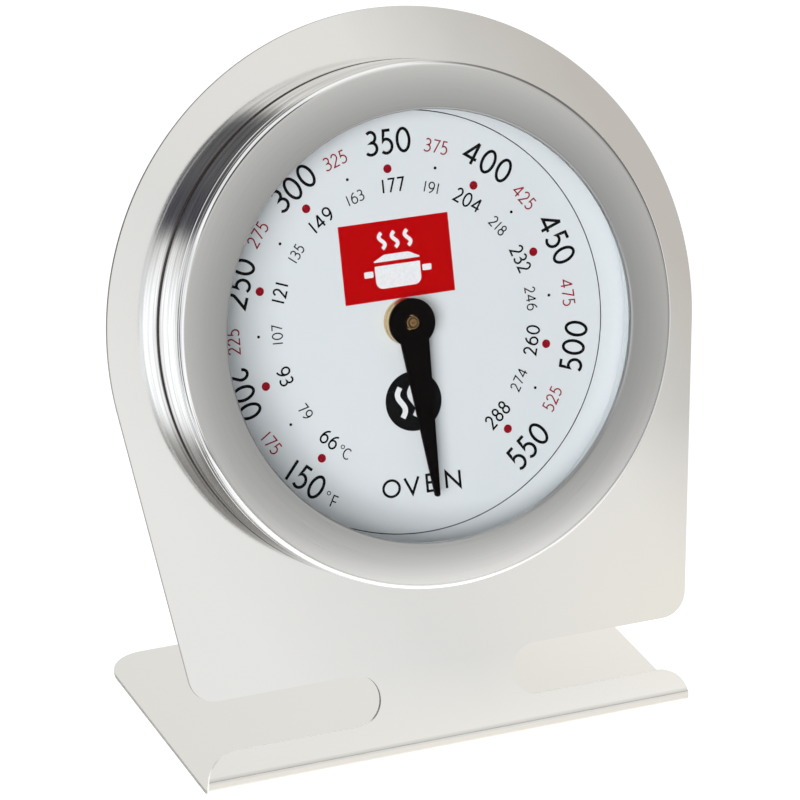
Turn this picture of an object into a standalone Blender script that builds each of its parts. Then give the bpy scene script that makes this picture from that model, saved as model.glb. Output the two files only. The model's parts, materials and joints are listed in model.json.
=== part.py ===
"""Oven thermometer: a round bimetal dial can clamped in a folded sheet-metal stand.

The pieces are modelled in the dial's own frame: X to the right, Y straight back along
the pointer's axis, Z up along the face plate, with the origin where that axis crosses
the plate's front face. One empty leans that frame back and lifts it, so that the
stand's foot lies flat at Z = 0 under the middle of the object.
"""

import math

import bmesh
import bpy
from mathutils import Matrix, Vector

MM = 0.001
GAP = 0.2 * MM

# Stand: one sheet, cut flat and folded once at its foot.
SHEET = 0.8 * MM
LEAN = math.radians(18.4)
PLATE_RADIUS = 45.1 * MM
SIDE_TAPER = math.radians(8.2)
PLATE_BOTTOM = -49.5 * MM
PLATE_CORNER = 4.0 * MM
SLOT_HEIGHT = 7.56 * MM
SLOT_ROUNDNESS = 0.98
NECK_HALF = 10.4 * MM
FOOT_HALF = 37.8 * MM
FOOT_CORNER = 4.6 * MM
FOLD_START = -60.9 * MM
FOLD_RADIUS = 1.9 * MM
BASE_DEPTH = 45.5 * MM
BASE_CORNER = 6.0 * MM
CAN_HOLE = 35.7 * MM

# Can and front ring: the can steps down in radius where it passes through the plate.
CAN_WALL = 0.5 * MM
CAN_FRONT_RADIUS = 36.9 * MM
CAN_REAR_RADIUS = 35.4 * MM
CAN_FRONT_EDGE = -6.8 * MM
CAN_BACK = 9.5 * MM
CAN_BACK_ROUNDING = 1.5 * MM
VENT_RADIUS = 2.2 * MM
VENT_CIRCLE = 23.0 * MM
VENT_COUNT = 8
RETAINER_WIDTH = 3.3 * MM
RETAINER_SHEET = 0.5 * MM
RETAINER_COLLAR = 0.6 * MM
RETAINER_LENGTH = 2.4 * MM
HOLE_CUT_LENGTH = 4.0 * MM

RING_WALL = 0.4 * MM
RING_RADIUS = 37.6 * MM
RING_EDGE_ROUNDING = 0.8 * MM
RING_FACE_EDGE = -9.45 * MM
RING_CREST = -10.2 * MM
RING_FACE_BULGE = 0.05 * MM
WINDOW_RADIUS = 30.75 * MM
WINDOW_LIP = 0.45 * MM
LIP_END = -9.3 * MM

# Glass, seal and the two rings that hold the dial between them.
LENS_RADIUS = 36.4 * MM
LENS_FRONT = -9.0 * MM
LENS_BACK = -7.6 * MM
LENS_CHAMFER = 0.3 * MM
GASKET_INNER = 34.9 * MM
GASKET_OUTER = 36.6 * MM
GASKET_BACK = -7.0 * MM
SPACER_INNER = 35.4 * MM
SPACER_OUTER = 36.1 * MM
SPACER_SHOULDER = -0.9 * MM
SPACER_FLANGE = 0.6 * MM
LIP_INNER = 34.35 * MM
LIP_OUTER = 34.65 * MM
SEAT_INNER = 34.1 * MM
SEAT_OUTER = 34.6 * MM

# Dial and pointer.
DIAL_RADIUS = 34.6 * MM
DIAL_FRONT = 0.35 * MM
DIAL_BACK = 0.65 * MM
DIAL_HOLE = 2.4 * MM
POINTER_FRONT = -2.55 * MM
POINTER_BACK = -2.05 * MM
POINTER_HUB = 3.5 * MM
POINTER_LENGTH = 25.5 * MM
POINTER_ROOT_HALF = 2.15 * MM
POINTER_TIP_HALF = 0.4 * MM
POINTER_HOLE = 1.15 * MM
REST_TURN = math.radians(178.0)

# Movement: arbor, bearings, bridge and bimetal coil.
ARBOR_RADIUS = 0.6 * MM
BORE_RADIUS = 0.68 * MM
ARBOR_FRONT = -2.85 * MM
ARBOR_BACK = 9.4 * MM
ARBOR_POINT = 0.3 * MM
COLLAR_RADIUS = 3.4 * MM
COLLAR_FRONT = -1.7 * MM
BRIDGE_FRONT = 1.9 * MM
BRIDGE_BACK = 2.7 * MM
BRIDGE_HALF_LENGTH = 25.5 * MM
BRIDGE_HALF_WIDTH = 4.5 * MM
BRIDGE_HOLE = 1.8 * MM
BRIDGE_ROUNDNESS = 0.999
PILLAR_OFFSET = 21.0 * MM
PILLAR_RADIUS = 1.9 * MM
PILLAR_NECK = 1.1 * MM
PILLAR_TAP = 3.4 * MM
OUTER_HEAD = 0.8 * MM
SCREW_SHANK = 0.8 * MM
SCREW_HEAD = 1.6 * MM
SCREW_HEAD_HEIGHT = 0.6 * MM
SCREW_LENGTH = 3.0 * MM
SCREW_SLOT = 0.5 * MM
COIL_FRONT = 3.7 * MM
COIL_BACK = 7.7 * MM
COIL_INNER = 2.2 * MM
COIL_OUTER = 12.0 * MM
COIL_TURNS = 5.25
COIL_STRIP = 0.5 * MM
COLLET_RADIUS = 2.0 * MM
WASHER_RADIUS = 1.6 * MM
WASHER_SHEET = 0.3 * MM
CLIP_RADIUS = 1.5 * MM
CLIP_SHEET = 0.3 * MM
CLIP_FRONT = 3.05 * MM
CLIP_MOUTH = math.radians(50.0)
BUSH_FLANGE_RADIUS = 2.4 * MM
BUSH_FLANGE_SHEET = 0.5 * MM
RIVET_HEAD_RADIUS = 1.7 * MM
RIVET_HEAD = 0.6 * MM
ANCHOR_RADIUS = 12.7 * MM
ANCHOR_WIDTH = 4.0 * MM
ANCHOR_REACH = 4.6 * MM
ANCHOR_SHEET = 0.8 * MM

SEGMENTS_LARGE = 64
SEGMENTS_SMALL = 20
FILLET_STEP = math.radians(15.0)
FOLD_STEPS = 6
PLATE_STEPS = 48
COIL_STEPS_PER_TURN = 16


def clear_scene():
    for item in list(bpy.data.objects):
        bpy.data.objects.remove(item, do_unlink=True)


def material(name, color, metallic, roughness):
    made = bpy.data.materials.new(name)
    made.use_nodes = True
    shader = made.node_tree.nodes["Principled BSDF"]
    shader.inputs["Base Color"].default_value = (*color, 1.0)
    shader.inputs["Metallic"].default_value = metallic
    shader.inputs["Roughness"].default_value = roughness
    made.diffuse_color = (*color, 1.0)
    return made


def add_piece(name, mesh_data, look, frame):
    """Turn a bmesh into a named object that hangs on the dial's frame."""
    mesh = bpy.data.meshes.new(name)
    mesh_data.to_mesh(mesh)
    mesh_data.free()
    mesh.materials.append(look)
    mesh.shade_smooth()
    mesh.set_sharp_from_angle(angle=math.radians(35.0))
    piece = bpy.data.objects.new(name, mesh)
    bpy.context.scene.collection.objects.link(piece)
    piece.parent = frame
    return piece


def arc(center, radius, start, end, steps):
    """Points on an arc, both ends included."""
    points = []
    for step in range(steps + 1):
        angle = start + (end - start) * step / steps
        points.append((center[0] + radius * math.cos(angle), center[1] + radius * math.sin(angle)))
    return points


def circle(radius, segments, center=(0.0, 0.0)):
    return arc(center, radius, 0.0, math.tau, segments)[:-1]


def rounded_outline(corners):
    """Replace each (x, z, radius) corner with an arc that is tangent to both its sides."""
    points = []
    for index, (x, z, radius) in enumerate(corners):
        corner = Vector((x, z))
        if radius == 0.0:
            points.append(corner)
            continue
        before = (Vector(corners[index - 1][:2]) - corner).normalized()
        after = (Vector(corners[(index + 1) % len(corners)][:2]) - corner).normalized()
        half = before.angle(after) / 2.0
        start = corner + before * (radius / math.tan(half))
        end = corner + after * (radius / math.tan(half))
        center = corner + (before + after).normalized() * (radius / math.sin(half))
        sweep = (start - center).angle_signed(end - center)
        first = math.atan2(start.y - center.y, start.x - center.x)
        steps = max(2, round(abs(sweep) / FILLET_STEP))
        points.extend(Vector(point) for point in arc(center, radius, first, first - sweep, steps))
    clean = []
    for point in points:
        if not clean or (point - clean[-1]).length > 0.001 * MM:
            clean.append(point)
    return clean


def add_loop(mesh_data, outline, depth):
    verts = [mesh_data.verts.new((x, depth, z)) for x, z in outline]
    for index, vert in enumerate(verts):
        mesh_data.edges.new((vert, verts[(index + 1) % len(verts)]))


def filled_face(outline, holes, depth):
    """A flat face at one depth, with holes, its normal towards the front."""
    mesh_data = bmesh.new()
    for loop in [outline, *holes]:
        add_loop(mesh_data, loop, depth)
    bmesh.ops.triangle_fill(mesh_data, use_beauty=True, edges=mesh_data.edges[:])
    for face in mesh_data.faces:
        face.normal_update()
        if face.normal.y > 0.0:
            face.normal_flip()
    return mesh_data


def cut_sheet(outline, holes, front, back):
    """A flat piece between two depths, with straight sides."""
    mesh_data = filled_face(outline, holes, front)
    grown = bmesh.ops.extrude_face_region(mesh_data, geom=mesh_data.faces[:])
    moved = [item for item in grown["geom"] if isinstance(item, bmesh.types.BMVert)]
    bmesh.ops.translate(mesh_data, verts=moved, vec=(0.0, back - front, 0.0))
    bmesh.ops.recalc_face_normals(mesh_data, faces=mesh_data.faces[:])
    return mesh_data


def turned_ring(profile, segments):
    """Spin a closed loop of (radius, depth) points around the pointer's axis."""
    mesh_data = bmesh.new()
    verts = [mesh_data.verts.new((radius, depth, 0.0)) for radius, depth in profile]
    for index, vert in enumerate(verts):
        mesh_data.edges.new((vert, verts[(index + 1) % len(verts)]))
    bmesh.ops.spin(
        mesh_data, geom=mesh_data.verts[:] + mesh_data.edges[:], cent=(0.0, 0.0, 0.0),
        axis=(0.0, 1.0, 0.0), angle=math.tau, steps=segments, use_merge=True)
    bmesh.ops.recalc_face_normals(mesh_data, faces=mesh_data.faces[:])
    return mesh_data


def turned_solid(profile, segments):
    """Stack discs of the given (radius, depth) points into one solid of revolution."""
    mesh_data = bmesh.new()
    rings = []
    for radius, depth in profile:
        rings.append([mesh_data.verts.new((x, depth, z)) for x, z in circle(radius, segments)])
    for lower, upper in zip(rings, rings[1:]):
        for index in range(segments):
            following = (index + 1) % segments
            mesh_data.faces.new((lower[index], lower[following], upper[following], upper[index]))
    mesh_data.faces.new(rings[0])
    mesh_data.faces.new(rings[-1])
    bmesh.ops.recalc_face_normals(mesh_data, faces=mesh_data.faces[:])
    return mesh_data


def ring_section(inner, outer, front, back):
    return [(inner, front), (outer, front), (outer, back), (inner, back)]


def stand_blank_outline():
    """The sheet before it is folded: plate, neck between two slots, foot and base."""
    plate_half = PLATE_RADIUS / math.cos(SIDE_TAPER) + PLATE_BOTTOM * math.tan(SIDE_TAPER)
    slot_bottom = PLATE_BOTTOM - SLOT_HEIGHT
    slot_round = SLOT_ROUNDNESS * SLOT_HEIGHT / 2.0
    left = [
        (-plate_half, PLATE_BOTTOM, PLATE_CORNER),
        (-NECK_HALF, PLATE_BOTTOM, slot_round),
        (-NECK_HALF, slot_bottom, slot_round),
        (-FOOT_HALF, slot_bottom, FOOT_CORNER),
        (-FOOT_HALF, blank_end(), BASE_CORNER),
    ]
    right = [(-x, z, radius) for x, z, radius in reversed(left)]
    top = arc((0.0, 0.0), PLATE_RADIUS, -SIDE_TAPER, math.pi + SIDE_TAPER, PLATE_STEPS)
    return rounded_outline([*[(x, z, 0.0) for x, z in top], *left, *right])


def fold_sweep():
    """The sheet turns a right angle and then the plate's lean."""
    return math.pi / 2.0 + LEAN


def blank_end():
    """Where the flat blank ends, so that the folded base has its full depth."""
    setback = FOLD_RADIUS * math.tan(fold_sweep() / 2.0)
    return FOLD_START - FOLD_RADIUS * fold_sweep() - (BASE_DEPTH - setback)


def fold(point):
    """Move one point of the flat blank to its place on the folded sheet's outer face."""
    beyond = FOLD_START - point.z
    if beyond <= 0.0:
        return Vector((point.x, 0.0, point.z))
    turn = min(beyond / FOLD_RADIUS, fold_sweep())
    straight = beyond - turn * FOLD_RADIUS
    depth = FOLD_RADIUS * (1.0 - math.cos(turn)) + straight * math.sin(turn)
    height = FOLD_START - FOLD_RADIUS * math.sin(turn) - straight * math.cos(turn)
    return Vector((point.x, depth, height))


def make_stand(look, frame):
    holes = [circle(CAN_HOLE, SEGMENTS_LARGE)]
    mesh_data = filled_face(stand_blank_outline(), holes, 0.0)
    for step in range(FOLD_STEPS + 1):
        level = FOLD_START - FOLD_RADIUS * fold_sweep() * step / FOLD_STEPS
        everything = mesh_data.verts[:] + mesh_data.edges[:] + mesh_data.faces[:]
        bmesh.ops.bisect_plane(
            mesh_data, geom=everything, plane_co=(0.0, 0.0, level), plane_no=(0.0, 0.0, 1.0))
    for vert in mesh_data.verts:
        vert.co = fold(vert.co)
    stand = add_piece("stand", mesh_data, look, frame)
    thickness = stand.modifiers.new("sheet", "SOLIDIFY")
    thickness.thickness = SHEET
    thickness.offset = -1.0
    thickness.use_even_offset = True
    return stand


def ring_face(inset, steps):
    """The front ring's face from its rounded edge to the crest, set back by the wall."""
    outer = RING_RADIUS - RING_EDGE_ROUNDING
    crest = WINDOW_RADIUS + WINDOW_LIP
    points = []
    for step in range(steps + 1):
        share = step / steps
        radius = outer + (crest - outer) * share
        depth = RING_FACE_EDGE + (RING_CREST - RING_FACE_EDGE) * share
        bulge = RING_FACE_BULGE * 4.0 * share * (1.0 - share)
        points.append((radius, depth - bulge + inset))
    return points


def front_ring_profile():
    """Side wall, rounded edge, crowned face and a lip rolled in around the window."""
    edge = (RING_RADIUS - RING_EDGE_ROUNDING, RING_FACE_EDGE + RING_EDGE_ROUNDING)
    lip = (WINDOW_RADIUS + WINDOW_LIP, RING_CREST + WINDOW_LIP)
    outside = [(RING_RADIUS, -GAP)]
    outside += arc(edge, RING_EDGE_ROUNDING, 0.0, -math.pi / 2.0, 4)
    outside += ring_face(0.0, 4)[1:-1]
    outside += arc(lip, WINDOW_LIP, -math.pi / 2.0, -math.pi, 2)
    outside += [(WINDOW_RADIUS, LIP_END)]
    inside = [(WINDOW_RADIUS + RING_WALL, LIP_END)]
    inside += [(WINDOW_RADIUS + RING_WALL, RING_CREST + RING_WALL + WINDOW_LIP / 3.0)]
    inside += list(reversed(ring_face(RING_WALL, 4)))[1:-1]
    inside += arc(edge, RING_EDGE_ROUNDING - RING_WALL, -math.pi / 2.0, 0.0, 3)
    inside += [(RING_RADIUS - RING_WALL, -GAP)]
    return outside + inside


def can_profile():
    """Front wall, step that rests on the plate, rear wall and back, all one sheet."""
    step_back = -GAP
    step_front = step_back - CAN_WALL
    rear_inner = CAN_REAR_RADIUS - CAN_WALL
    rounding = (CAN_REAR_RADIUS - CAN_BACK_ROUNDING, CAN_BACK - CAN_BACK_ROUNDING)
    bearing_hole = PILLAR_NECK + 2.0 * GAP
    outside = [(CAN_FRONT_RADIUS, CAN_FRONT_EDGE), (CAN_FRONT_RADIUS, step_back)]
    outside += [(CAN_REAR_RADIUS, step_back)]
    outside += arc(rounding, CAN_BACK_ROUNDING, 0.0, math.pi / 2.0, 4)
    outside += [(bearing_hole, CAN_BACK)]
    inside = [(bearing_hole, CAN_BACK - CAN_WALL)]
    inside += arc(rounding, CAN_BACK_ROUNDING - CAN_WALL, math.pi / 2.0, 0.0, 2)
    inside += [(rear_inner, step_front), (CAN_FRONT_RADIUS - CAN_WALL, step_front)]
    inside += [(CAN_FRONT_RADIUS - CAN_WALL, CAN_FRONT_EDGE)]
    return outside + inside


def add_cutter(name, holes, depth, reach, frame):
    """One hidden cutter of straight pins, each (x, z, radius), for a Boolean."""
    mesh_data = bmesh.new()
    for x, z, radius in holes:
        turn = Matrix.Rotation(math.pi / 2.0, 4, "X")
        place = Matrix.Translation((x, depth, z)) @ turn
        bmesh.ops.create_cone(
            mesh_data, cap_ends=True, segments=SEGMENTS_SMALL, radius1=radius, radius2=radius,
            depth=reach, matrix=place)
    mesh = bpy.data.meshes.new(name)
    mesh_data.to_mesh(mesh)
    mesh_data.free()
    cutter = bpy.data.objects.new(name, mesh)
    bpy.context.scene.collection.objects.link(cutter)
    cutter.parent = frame
    cutter.hide_render = True
    cutter.display_type = "WIRE"
    return cutter


def pillar_places():
    return [(-PILLAR_OFFSET, 0.0), (PILLAR_OFFSET, 0.0)]


def anchor_rivet_place():
    return (0.0, -(ANCHOR_RADIUS + ANCHOR_REACH / 2.0 + ANCHOR_SHEET / 2.0))


def make_can(look, frame):
    can = add_piece("case_cup", turned_ring(can_profile(), SEGMENTS_LARGE), look, frame)
    holes = []
    for index in range(VENT_COUNT):
        angle = math.tau * (index + 0.5) / VENT_COUNT
        holes.append((VENT_CIRCLE * math.cos(angle), VENT_CIRCLE * math.sin(angle), VENT_RADIUS))
    for x, z in [*pillar_places(), anchor_rivet_place()]:
        holes.append((x, z, PILLAR_NECK + GAP))
    cutter = add_cutter("can_hole_cutter", holes, CAN_BACK, HOLE_CUT_LENGTH, frame)
    cut = can.modifiers.new("holes", "BOOLEAN")
    cut.operation = "DIFFERENCE"
    cut.solver = "EXACT"
    cut.object = cutter
    return can


def make_retaining_ring(look, frame):
    """A push-on ring behind the plate: a flat flange and a collar that grips the can."""
    inner = CAN_HOLE
    outer = inner + RETAINER_WIDTH
    front = SHEET + GAP
    flange = front + RETAINER_SHEET
    collar = inner + RETAINER_COLLAR
    back = front + RETAINER_LENGTH
    profile = [(inner, front), (outer, front), (outer, flange), (collar, flange),
               (collar, back), (inner, back)]
    return add_piece("retaining_ring", turned_ring(profile, SEGMENTS_LARGE), look, frame)


def make_lens(look, frame):
    profile = [(LENS_RADIUS - LENS_CHAMFER, LENS_FRONT), (LENS_RADIUS, LENS_FRONT + LENS_CHAMFER),
               (LENS_RADIUS, LENS_BACK)]
    return add_piece("lens", turned_solid(profile, SEGMENTS_LARGE), look, frame)


def make_gasket(look, frame):
    profile = ring_section(GASKET_INNER, GASKET_OUTER, LENS_BACK + GAP, GASKET_BACK)
    return add_piece("lens_gasket", turned_ring(profile, SEGMENTS_LARGE), look, frame)


def make_spacer(look, frame):
    """A ring under the glass that stands on the can's step and holds the dial's edge down."""
    flange_front = SPACER_SHOULDER - SPACER_FLANGE
    profile = [
        (SPACER_INNER, CAN_FRONT_EDGE), (SPACER_OUTER, CAN_FRONT_EDGE),
        (SPACER_OUTER, SPACER_SHOULDER), (LIP_OUTER, SPACER_SHOULDER),
        (LIP_OUTER, DIAL_FRONT - GAP), (LIP_INNER, DIAL_FRONT - GAP),
        (LIP_INNER, flange_front), (SPACER_INNER, flange_front),
    ]
    return add_piece("spacer_ring", turned_ring(profile, SEGMENTS_LARGE), look, frame)


def make_dial_seat(look, frame):
    """A ring that stands on the can's back and carries the dial's edge."""
    back = CAN_BACK - CAN_WALL - CAN_BACK_ROUNDING
    profile = ring_section(SEAT_INNER, SEAT_OUTER, DIAL_BACK + GAP, back)
    return add_piece("dial_seat", turned_ring(profile, SEGMENTS_LARGE), look, frame)


def make_dial(look, frame):
    profile = ring_section(DIAL_HOLE, DIAL_RADIUS, DIAL_FRONT, DIAL_BACK)
    return add_piece("dial_plate", turned_ring(profile, SEGMENTS_LARGE), look, frame)


def make_front_bush(look, frame):
    """Brass bearing: a collar on the dial's face and a neck down through the bridge."""
    neck = DIAL_HOLE - 1.5 * GAP
    spigot = BRIDGE_HOLE - GAP
    profile = [
        (BORE_RADIUS, COLLAR_FRONT), (COLLAR_RADIUS, COLLAR_FRONT),
        (COLLAR_RADIUS, DIAL_FRONT - GAP), (neck, DIAL_FRONT - GAP),
        (neck, BRIDGE_FRONT - GAP), (spigot, BRIDGE_FRONT - GAP),
        (spigot, BRIDGE_BACK + GAP), (BORE_RADIUS, BRIDGE_BACK + GAP),
    ]
    return add_piece("front_bush", turned_ring(profile, SEGMENTS_SMALL), look, frame)


def make_bridge(look, frame):
    corner = BRIDGE_ROUNDNESS * BRIDGE_HALF_WIDTH
    outline = rounded_outline([
        (-BRIDGE_HALF_LENGTH, BRIDGE_HALF_WIDTH, corner),
        (BRIDGE_HALF_LENGTH, BRIDGE_HALF_WIDTH, corner),
        (BRIDGE_HALF_LENGTH, -BRIDGE_HALF_WIDTH, corner),
        (-BRIDGE_HALF_LENGTH, -BRIDGE_HALF_WIDTH, corner),
    ])
    holes = [circle(BRIDGE_HOLE, SEGMENTS_SMALL)]
    for place in pillar_places():
        holes.append(circle(SCREW_SHANK + GAP, SEGMENTS_SMALL, place))
    mesh_data = cut_sheet(outline, holes, BRIDGE_FRONT, BRIDGE_BACK)
    return add_piece("bridge", mesh_data, look, frame)


def make_pillar(name, place, look, frame):
    """Tapped at the front, riveted over outside the can's back."""
    tap = SCREW_SHANK + GAP
    tap_end = BRIDGE_BACK + PILLAR_TAP
    shoulder = CAN_BACK - CAN_WALL - GAP
    head_front = CAN_BACK + GAP
    head_back = CAN_BACK + OUTER_HEAD
    profile = [
        (tap, BRIDGE_BACK + GAP), (PILLAR_RADIUS, BRIDGE_BACK + GAP), (PILLAR_RADIUS, shoulder),
        (PILLAR_NECK, shoulder), (PILLAR_NECK, head_front), (PILLAR_RADIUS, head_front),
        (PILLAR_RADIUS - 2.0 * GAP, head_back),
    ]
    rings = turned_solid_with_tap(profile, tap, tap_end)
    pillar = add_piece(name, rings, look, frame)
    pillar.location = (place[0], 0.0, place[1])
    return pillar


def turned_solid_with_tap(profile, tap, tap_end):
    """A solid of revolution with a blind hole down from its first point."""
    return turned_solid([(tap, tap_end), *profile], SEGMENTS_SMALL)


def make_bridge_screw(name, place, look, frame):
    """Cheese-head screw with a driver slot across its head."""
    head_back = BRIDGE_FRONT - GAP
    head_front = head_back - SCREW_HEAD_HEIGHT
    end = BRIDGE_BACK + SCREW_LENGTH
    profile = [(SCREW_HEAD, head_front), (SCREW_HEAD, head_back), (SCREW_SHANK, head_back),
               (SCREW_SHANK, end)]
    screw = add_piece(name, turned_solid(profile, SEGMENTS_SMALL), look, frame)
    screw.location = (place[0], 0.0, place[1])
    mesh_data = bmesh.new()
    size = Vector((SCREW_SLOT, SCREW_HEAD_HEIGHT, 3.0 * SCREW_HEAD))
    place_box = Matrix.Translation((0.0, head_front, 0.0)) @ Matrix.Diagonal((*size, 1.0))
    bmesh.ops.create_cube(mesh_data, size=1.0, matrix=place_box)
    mesh = bpy.data.meshes.new(name + "_slot")
    mesh_data.to_mesh(mesh)
    mesh_data.free()
    cutter = bpy.data.objects.new(name + "_slot_cutter", mesh)
    bpy.context.scene.collection.objects.link(cutter)
    cutter.parent = screw
    cutter.hide_render = True
    cutter.display_type = "WIRE"
    cut = screw.modifiers.new("slot", "BOOLEAN")
    cut.operation = "DIFFERENCE"
    cut.solver = "EXACT"
    cut.object = cutter
    return screw


def pointer_outline():
    """A round hub and a straight taper to a small round tip, pointing up."""
    root_height = math.sqrt(POINTER_HUB ** 2 - POINTER_ROOT_HALF ** 2)
    root_angle = math.atan2(root_height, POINTER_ROOT_HALF)
    hub = arc((0.0, 0.0), POINTER_HUB, math.pi - root_angle, math.tau + root_angle, 28)
    tip_center = (0.0, POINTER_LENGTH - POINTER_TIP_HALF)
    tip = arc(tip_center, POINTER_TIP_HALF, 0.0, math.pi, 6)
    return hub + tip


def make_pointer(look, axle):
    holes = [circle(POINTER_HOLE, SEGMENTS_SMALL)]
    mesh_data = cut_sheet(pointer_outline(), holes, POINTER_FRONT, POINTER_BACK)
    return add_piece("pointer", mesh_data, look, axle)


def make_pointer_bush(look, axle):
    """A sleeve that fixes the pointer's hub on the arbor."""
    barrel = POINTER_HOLE - GAP
    bore = ARBOR_RADIUS + GAP / 2.0
    profile = ring_section(bore, barrel, POINTER_FRONT - GAP, POINTER_BACK + GAP / 2.0)
    return add_piece("pointer_bush", turned_ring(profile, SEGMENTS_SMALL), look, axle)


def make_arbor(look, axle):
    profile = [(ARBOR_RADIUS, ARBOR_FRONT), (ARBOR_RADIUS, ARBOR_BACK - ARBOR_POINT),
               (ARBOR_RADIUS / 2.0, ARBOR_BACK)]
    return add_piece("arbor", turned_solid(profile, SEGMENTS_SMALL), look, axle)


def make_arbor_clip(look, axle):
    """A split ring snapped on the arbor behind the bridge."""
    inner = ARBOR_RADIUS + GAP / 2.0
    mouth = CLIP_MOUTH / 2.0
    outline = arc((0.0, 0.0), CLIP_RADIUS, mouth, math.tau - mouth, SEGMENTS_SMALL)
    outline += arc((0.0, 0.0), inner, math.tau - mouth, mouth, SEGMENTS_SMALL)
    clip = cut_sheet(outline, [], CLIP_FRONT, CLIP_FRONT + CLIP_SHEET)
    return add_piece("arbor_clip", clip, look, axle)


def make_collet(look, axle):
    """The brass hub that carries the coil's inner end."""
    inner = ARBOR_RADIUS + GAP / 2.0
    profile = ring_section(inner, COLLET_RADIUS, COIL_FRONT, COIL_BACK)
    return add_piece("coil_collet", turned_ring(profile, SEGMENTS_SMALL), look, axle)


def make_thrust_washer(look, axle):
    inner = ARBOR_RADIUS + GAP / 2.0
    front = COIL_BACK + GAP / 2.0
    profile = ring_section(inner, WASHER_RADIUS, front, front + WASHER_SHEET)
    return add_piece("thrust_washer", turned_ring(profile, SEGMENTS_SMALL), look, axle)


def make_rear_bush(look, frame):
    """Brass bearing with a flange inside the can and a closed end outside it."""
    flange_back = CAN_BACK - CAN_WALL - GAP
    flange_front = flange_back - BUSH_FLANGE_SHEET
    spigot = PILLAR_NECK + GAP
    cap = CAN_BACK + OUTER_HEAD
    floor = ARBOR_BACK + GAP
    profile = [(BORE_RADIUS, floor), (BORE_RADIUS, flange_front),
               (BUSH_FLANGE_RADIUS, flange_front), (BUSH_FLANGE_RADIUS, flange_back),
               (spigot, flange_back), (spigot, cap)]
    return add_piece("rear_bush", turned_solid(profile, SEGMENTS_SMALL), look, frame)


def make_coil(look, frame):
    """A flat spiral of bimetal strip between the collet and the anchor."""
    steps = round(COIL_TURNS * COIL_STEPS_PER_TURN)
    mesh_data = bmesh.new()
    sections = []
    for step in range(steps + 1):
        share = step / steps
        radius = COIL_INNER + (COIL_OUTER - COIL_INNER) * share
        angle = -math.pi / 2.0 - (1.0 - share) * COIL_TURNS * math.tau
        section = []
        for offset, depth in ((0.0, COIL_FRONT), (COIL_STRIP, COIL_FRONT),
                              (COIL_STRIP, COIL_BACK), (0.0, COIL_BACK)):
            reach = radius + offset
            place = (reach * math.cos(angle), depth, reach * math.sin(angle))
            section.append(mesh_data.verts.new(place))
        sections.append(section)
    for here, there in zip(sections, sections[1:]):
        for index in range(4):
            after = (index + 1) % 4
            mesh_data.faces.new((here[index], here[after], there[after], there[index]))
    mesh_data.faces.new(sections[0])
    mesh_data.faces.new(sections[-1])
    bmesh.ops.recalc_face_normals(mesh_data, faces=mesh_data.faces[:])
    return add_piece("bimetal_coil", mesh_data, look, frame)


def make_coil_anchor(look, frame):
    """A bent bracket: its upright holds the coil's outer end, its foot is riveted down."""
    top = -ANCHOR_RADIUS
    foot_end = top - ANCHOR_SHEET - ANCHOR_REACH
    foot_back = CAN_BACK - CAN_WALL - GAP
    foot_front = foot_back - ANCHOR_SHEET
    section = [(top, COIL_FRONT), (top, foot_back), (foot_end, foot_back), (foot_end, foot_front),
               (top - ANCHOR_SHEET, foot_front), (top - ANCHOR_SHEET, COIL_FRONT)]
    mesh_data = bmesh.new()
    half = ANCHOR_WIDTH / 2.0
    face = mesh_data.faces.new([mesh_data.verts.new((-half, depth, z)) for z, depth in section])
    grown = bmesh.ops.extrude_face_region(mesh_data, geom=[face])
    moved = [item for item in grown["geom"] if isinstance(item, bmesh.types.BMVert)]
    bmesh.ops.translate(mesh_data, verts=moved, vec=(ANCHOR_WIDTH, 0.0, 0.0))
    bmesh.ops.recalc_face_normals(mesh_data, faces=mesh_data.faces[:])
    anchor = add_piece("coil_anchor", mesh_data, look, frame)
    x, z = anchor_rivet_place()
    cutter = add_cutter("anchor_hole_cutter", [(x, z, PILLAR_NECK + GAP)], foot_front,
                        HOLE_CUT_LENGTH, frame)
    cut = anchor.modifiers.new("hole", "BOOLEAN")
    cut.operation = "DIFFERENCE"
    cut.solver = "EXACT"
    cut.object = cutter
    return anchor


def make_anchor_rivet(look, frame):
    """Holds the anchor's foot to the can's back, with a head on each side."""
    head_radius = RIVET_HEAD_RADIUS
    head = RIVET_HEAD
    inside = CAN_BACK - CAN_WALL - ANCHOR_SHEET - 2.0 * GAP
    outside = CAN_BACK + GAP
    profile = [(head_radius - GAP, inside - head), (head_radius, inside),
               (PILLAR_NECK, inside), (PILLAR_NECK, outside),
               (head_radius, outside), (head_radius - GAP, outside + head)]
    rivet = add_piece("anchor_rivet", turned_solid(profile, SEGMENTS_SMALL), look, frame)
    x, z = anchor_rivet_place()
    rivet.location = (x, 0.0, z)
    return rivet


def to_world_height(depth, height):
    """Height that a point of the dial's frame gains or loses when the plate leans back."""
    return height * math.cos(LEAN) - depth * math.sin(LEAN)


def to_world_depth(depth, height):
    return depth * math.cos(LEAN) + height * math.sin(LEAN)


def add_dial_frame():
    """Lean the dial's frame back so that the foot is flat, centred and at Z = 0."""
    lift = FOLD_RADIUS - to_world_height(FOLD_RADIUS, FOLD_START)
    ring_front = to_world_depth(RING_FACE_EDGE, -(RING_RADIUS - RING_EDGE_ROUNDING))
    ring_front -= RING_EDGE_ROUNDING * (1.0 - math.cos(LEAN))
    corner = to_world_depth(FOLD_RADIUS, FOLD_START)
    setback = FOLD_RADIUS * math.tan(fold_sweep() / 2.0)
    base_end = corner + BASE_DEPTH - setback
    frame = bpy.data.objects.new("dial_frame", None)
    bpy.context.scene.collection.objects.link(frame)
    frame.rotation_euler = (-LEAN, 0.0, 0.0)
    frame.location = (0.0, -(ring_front + base_end) / 2.0, lift)
    return frame


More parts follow.
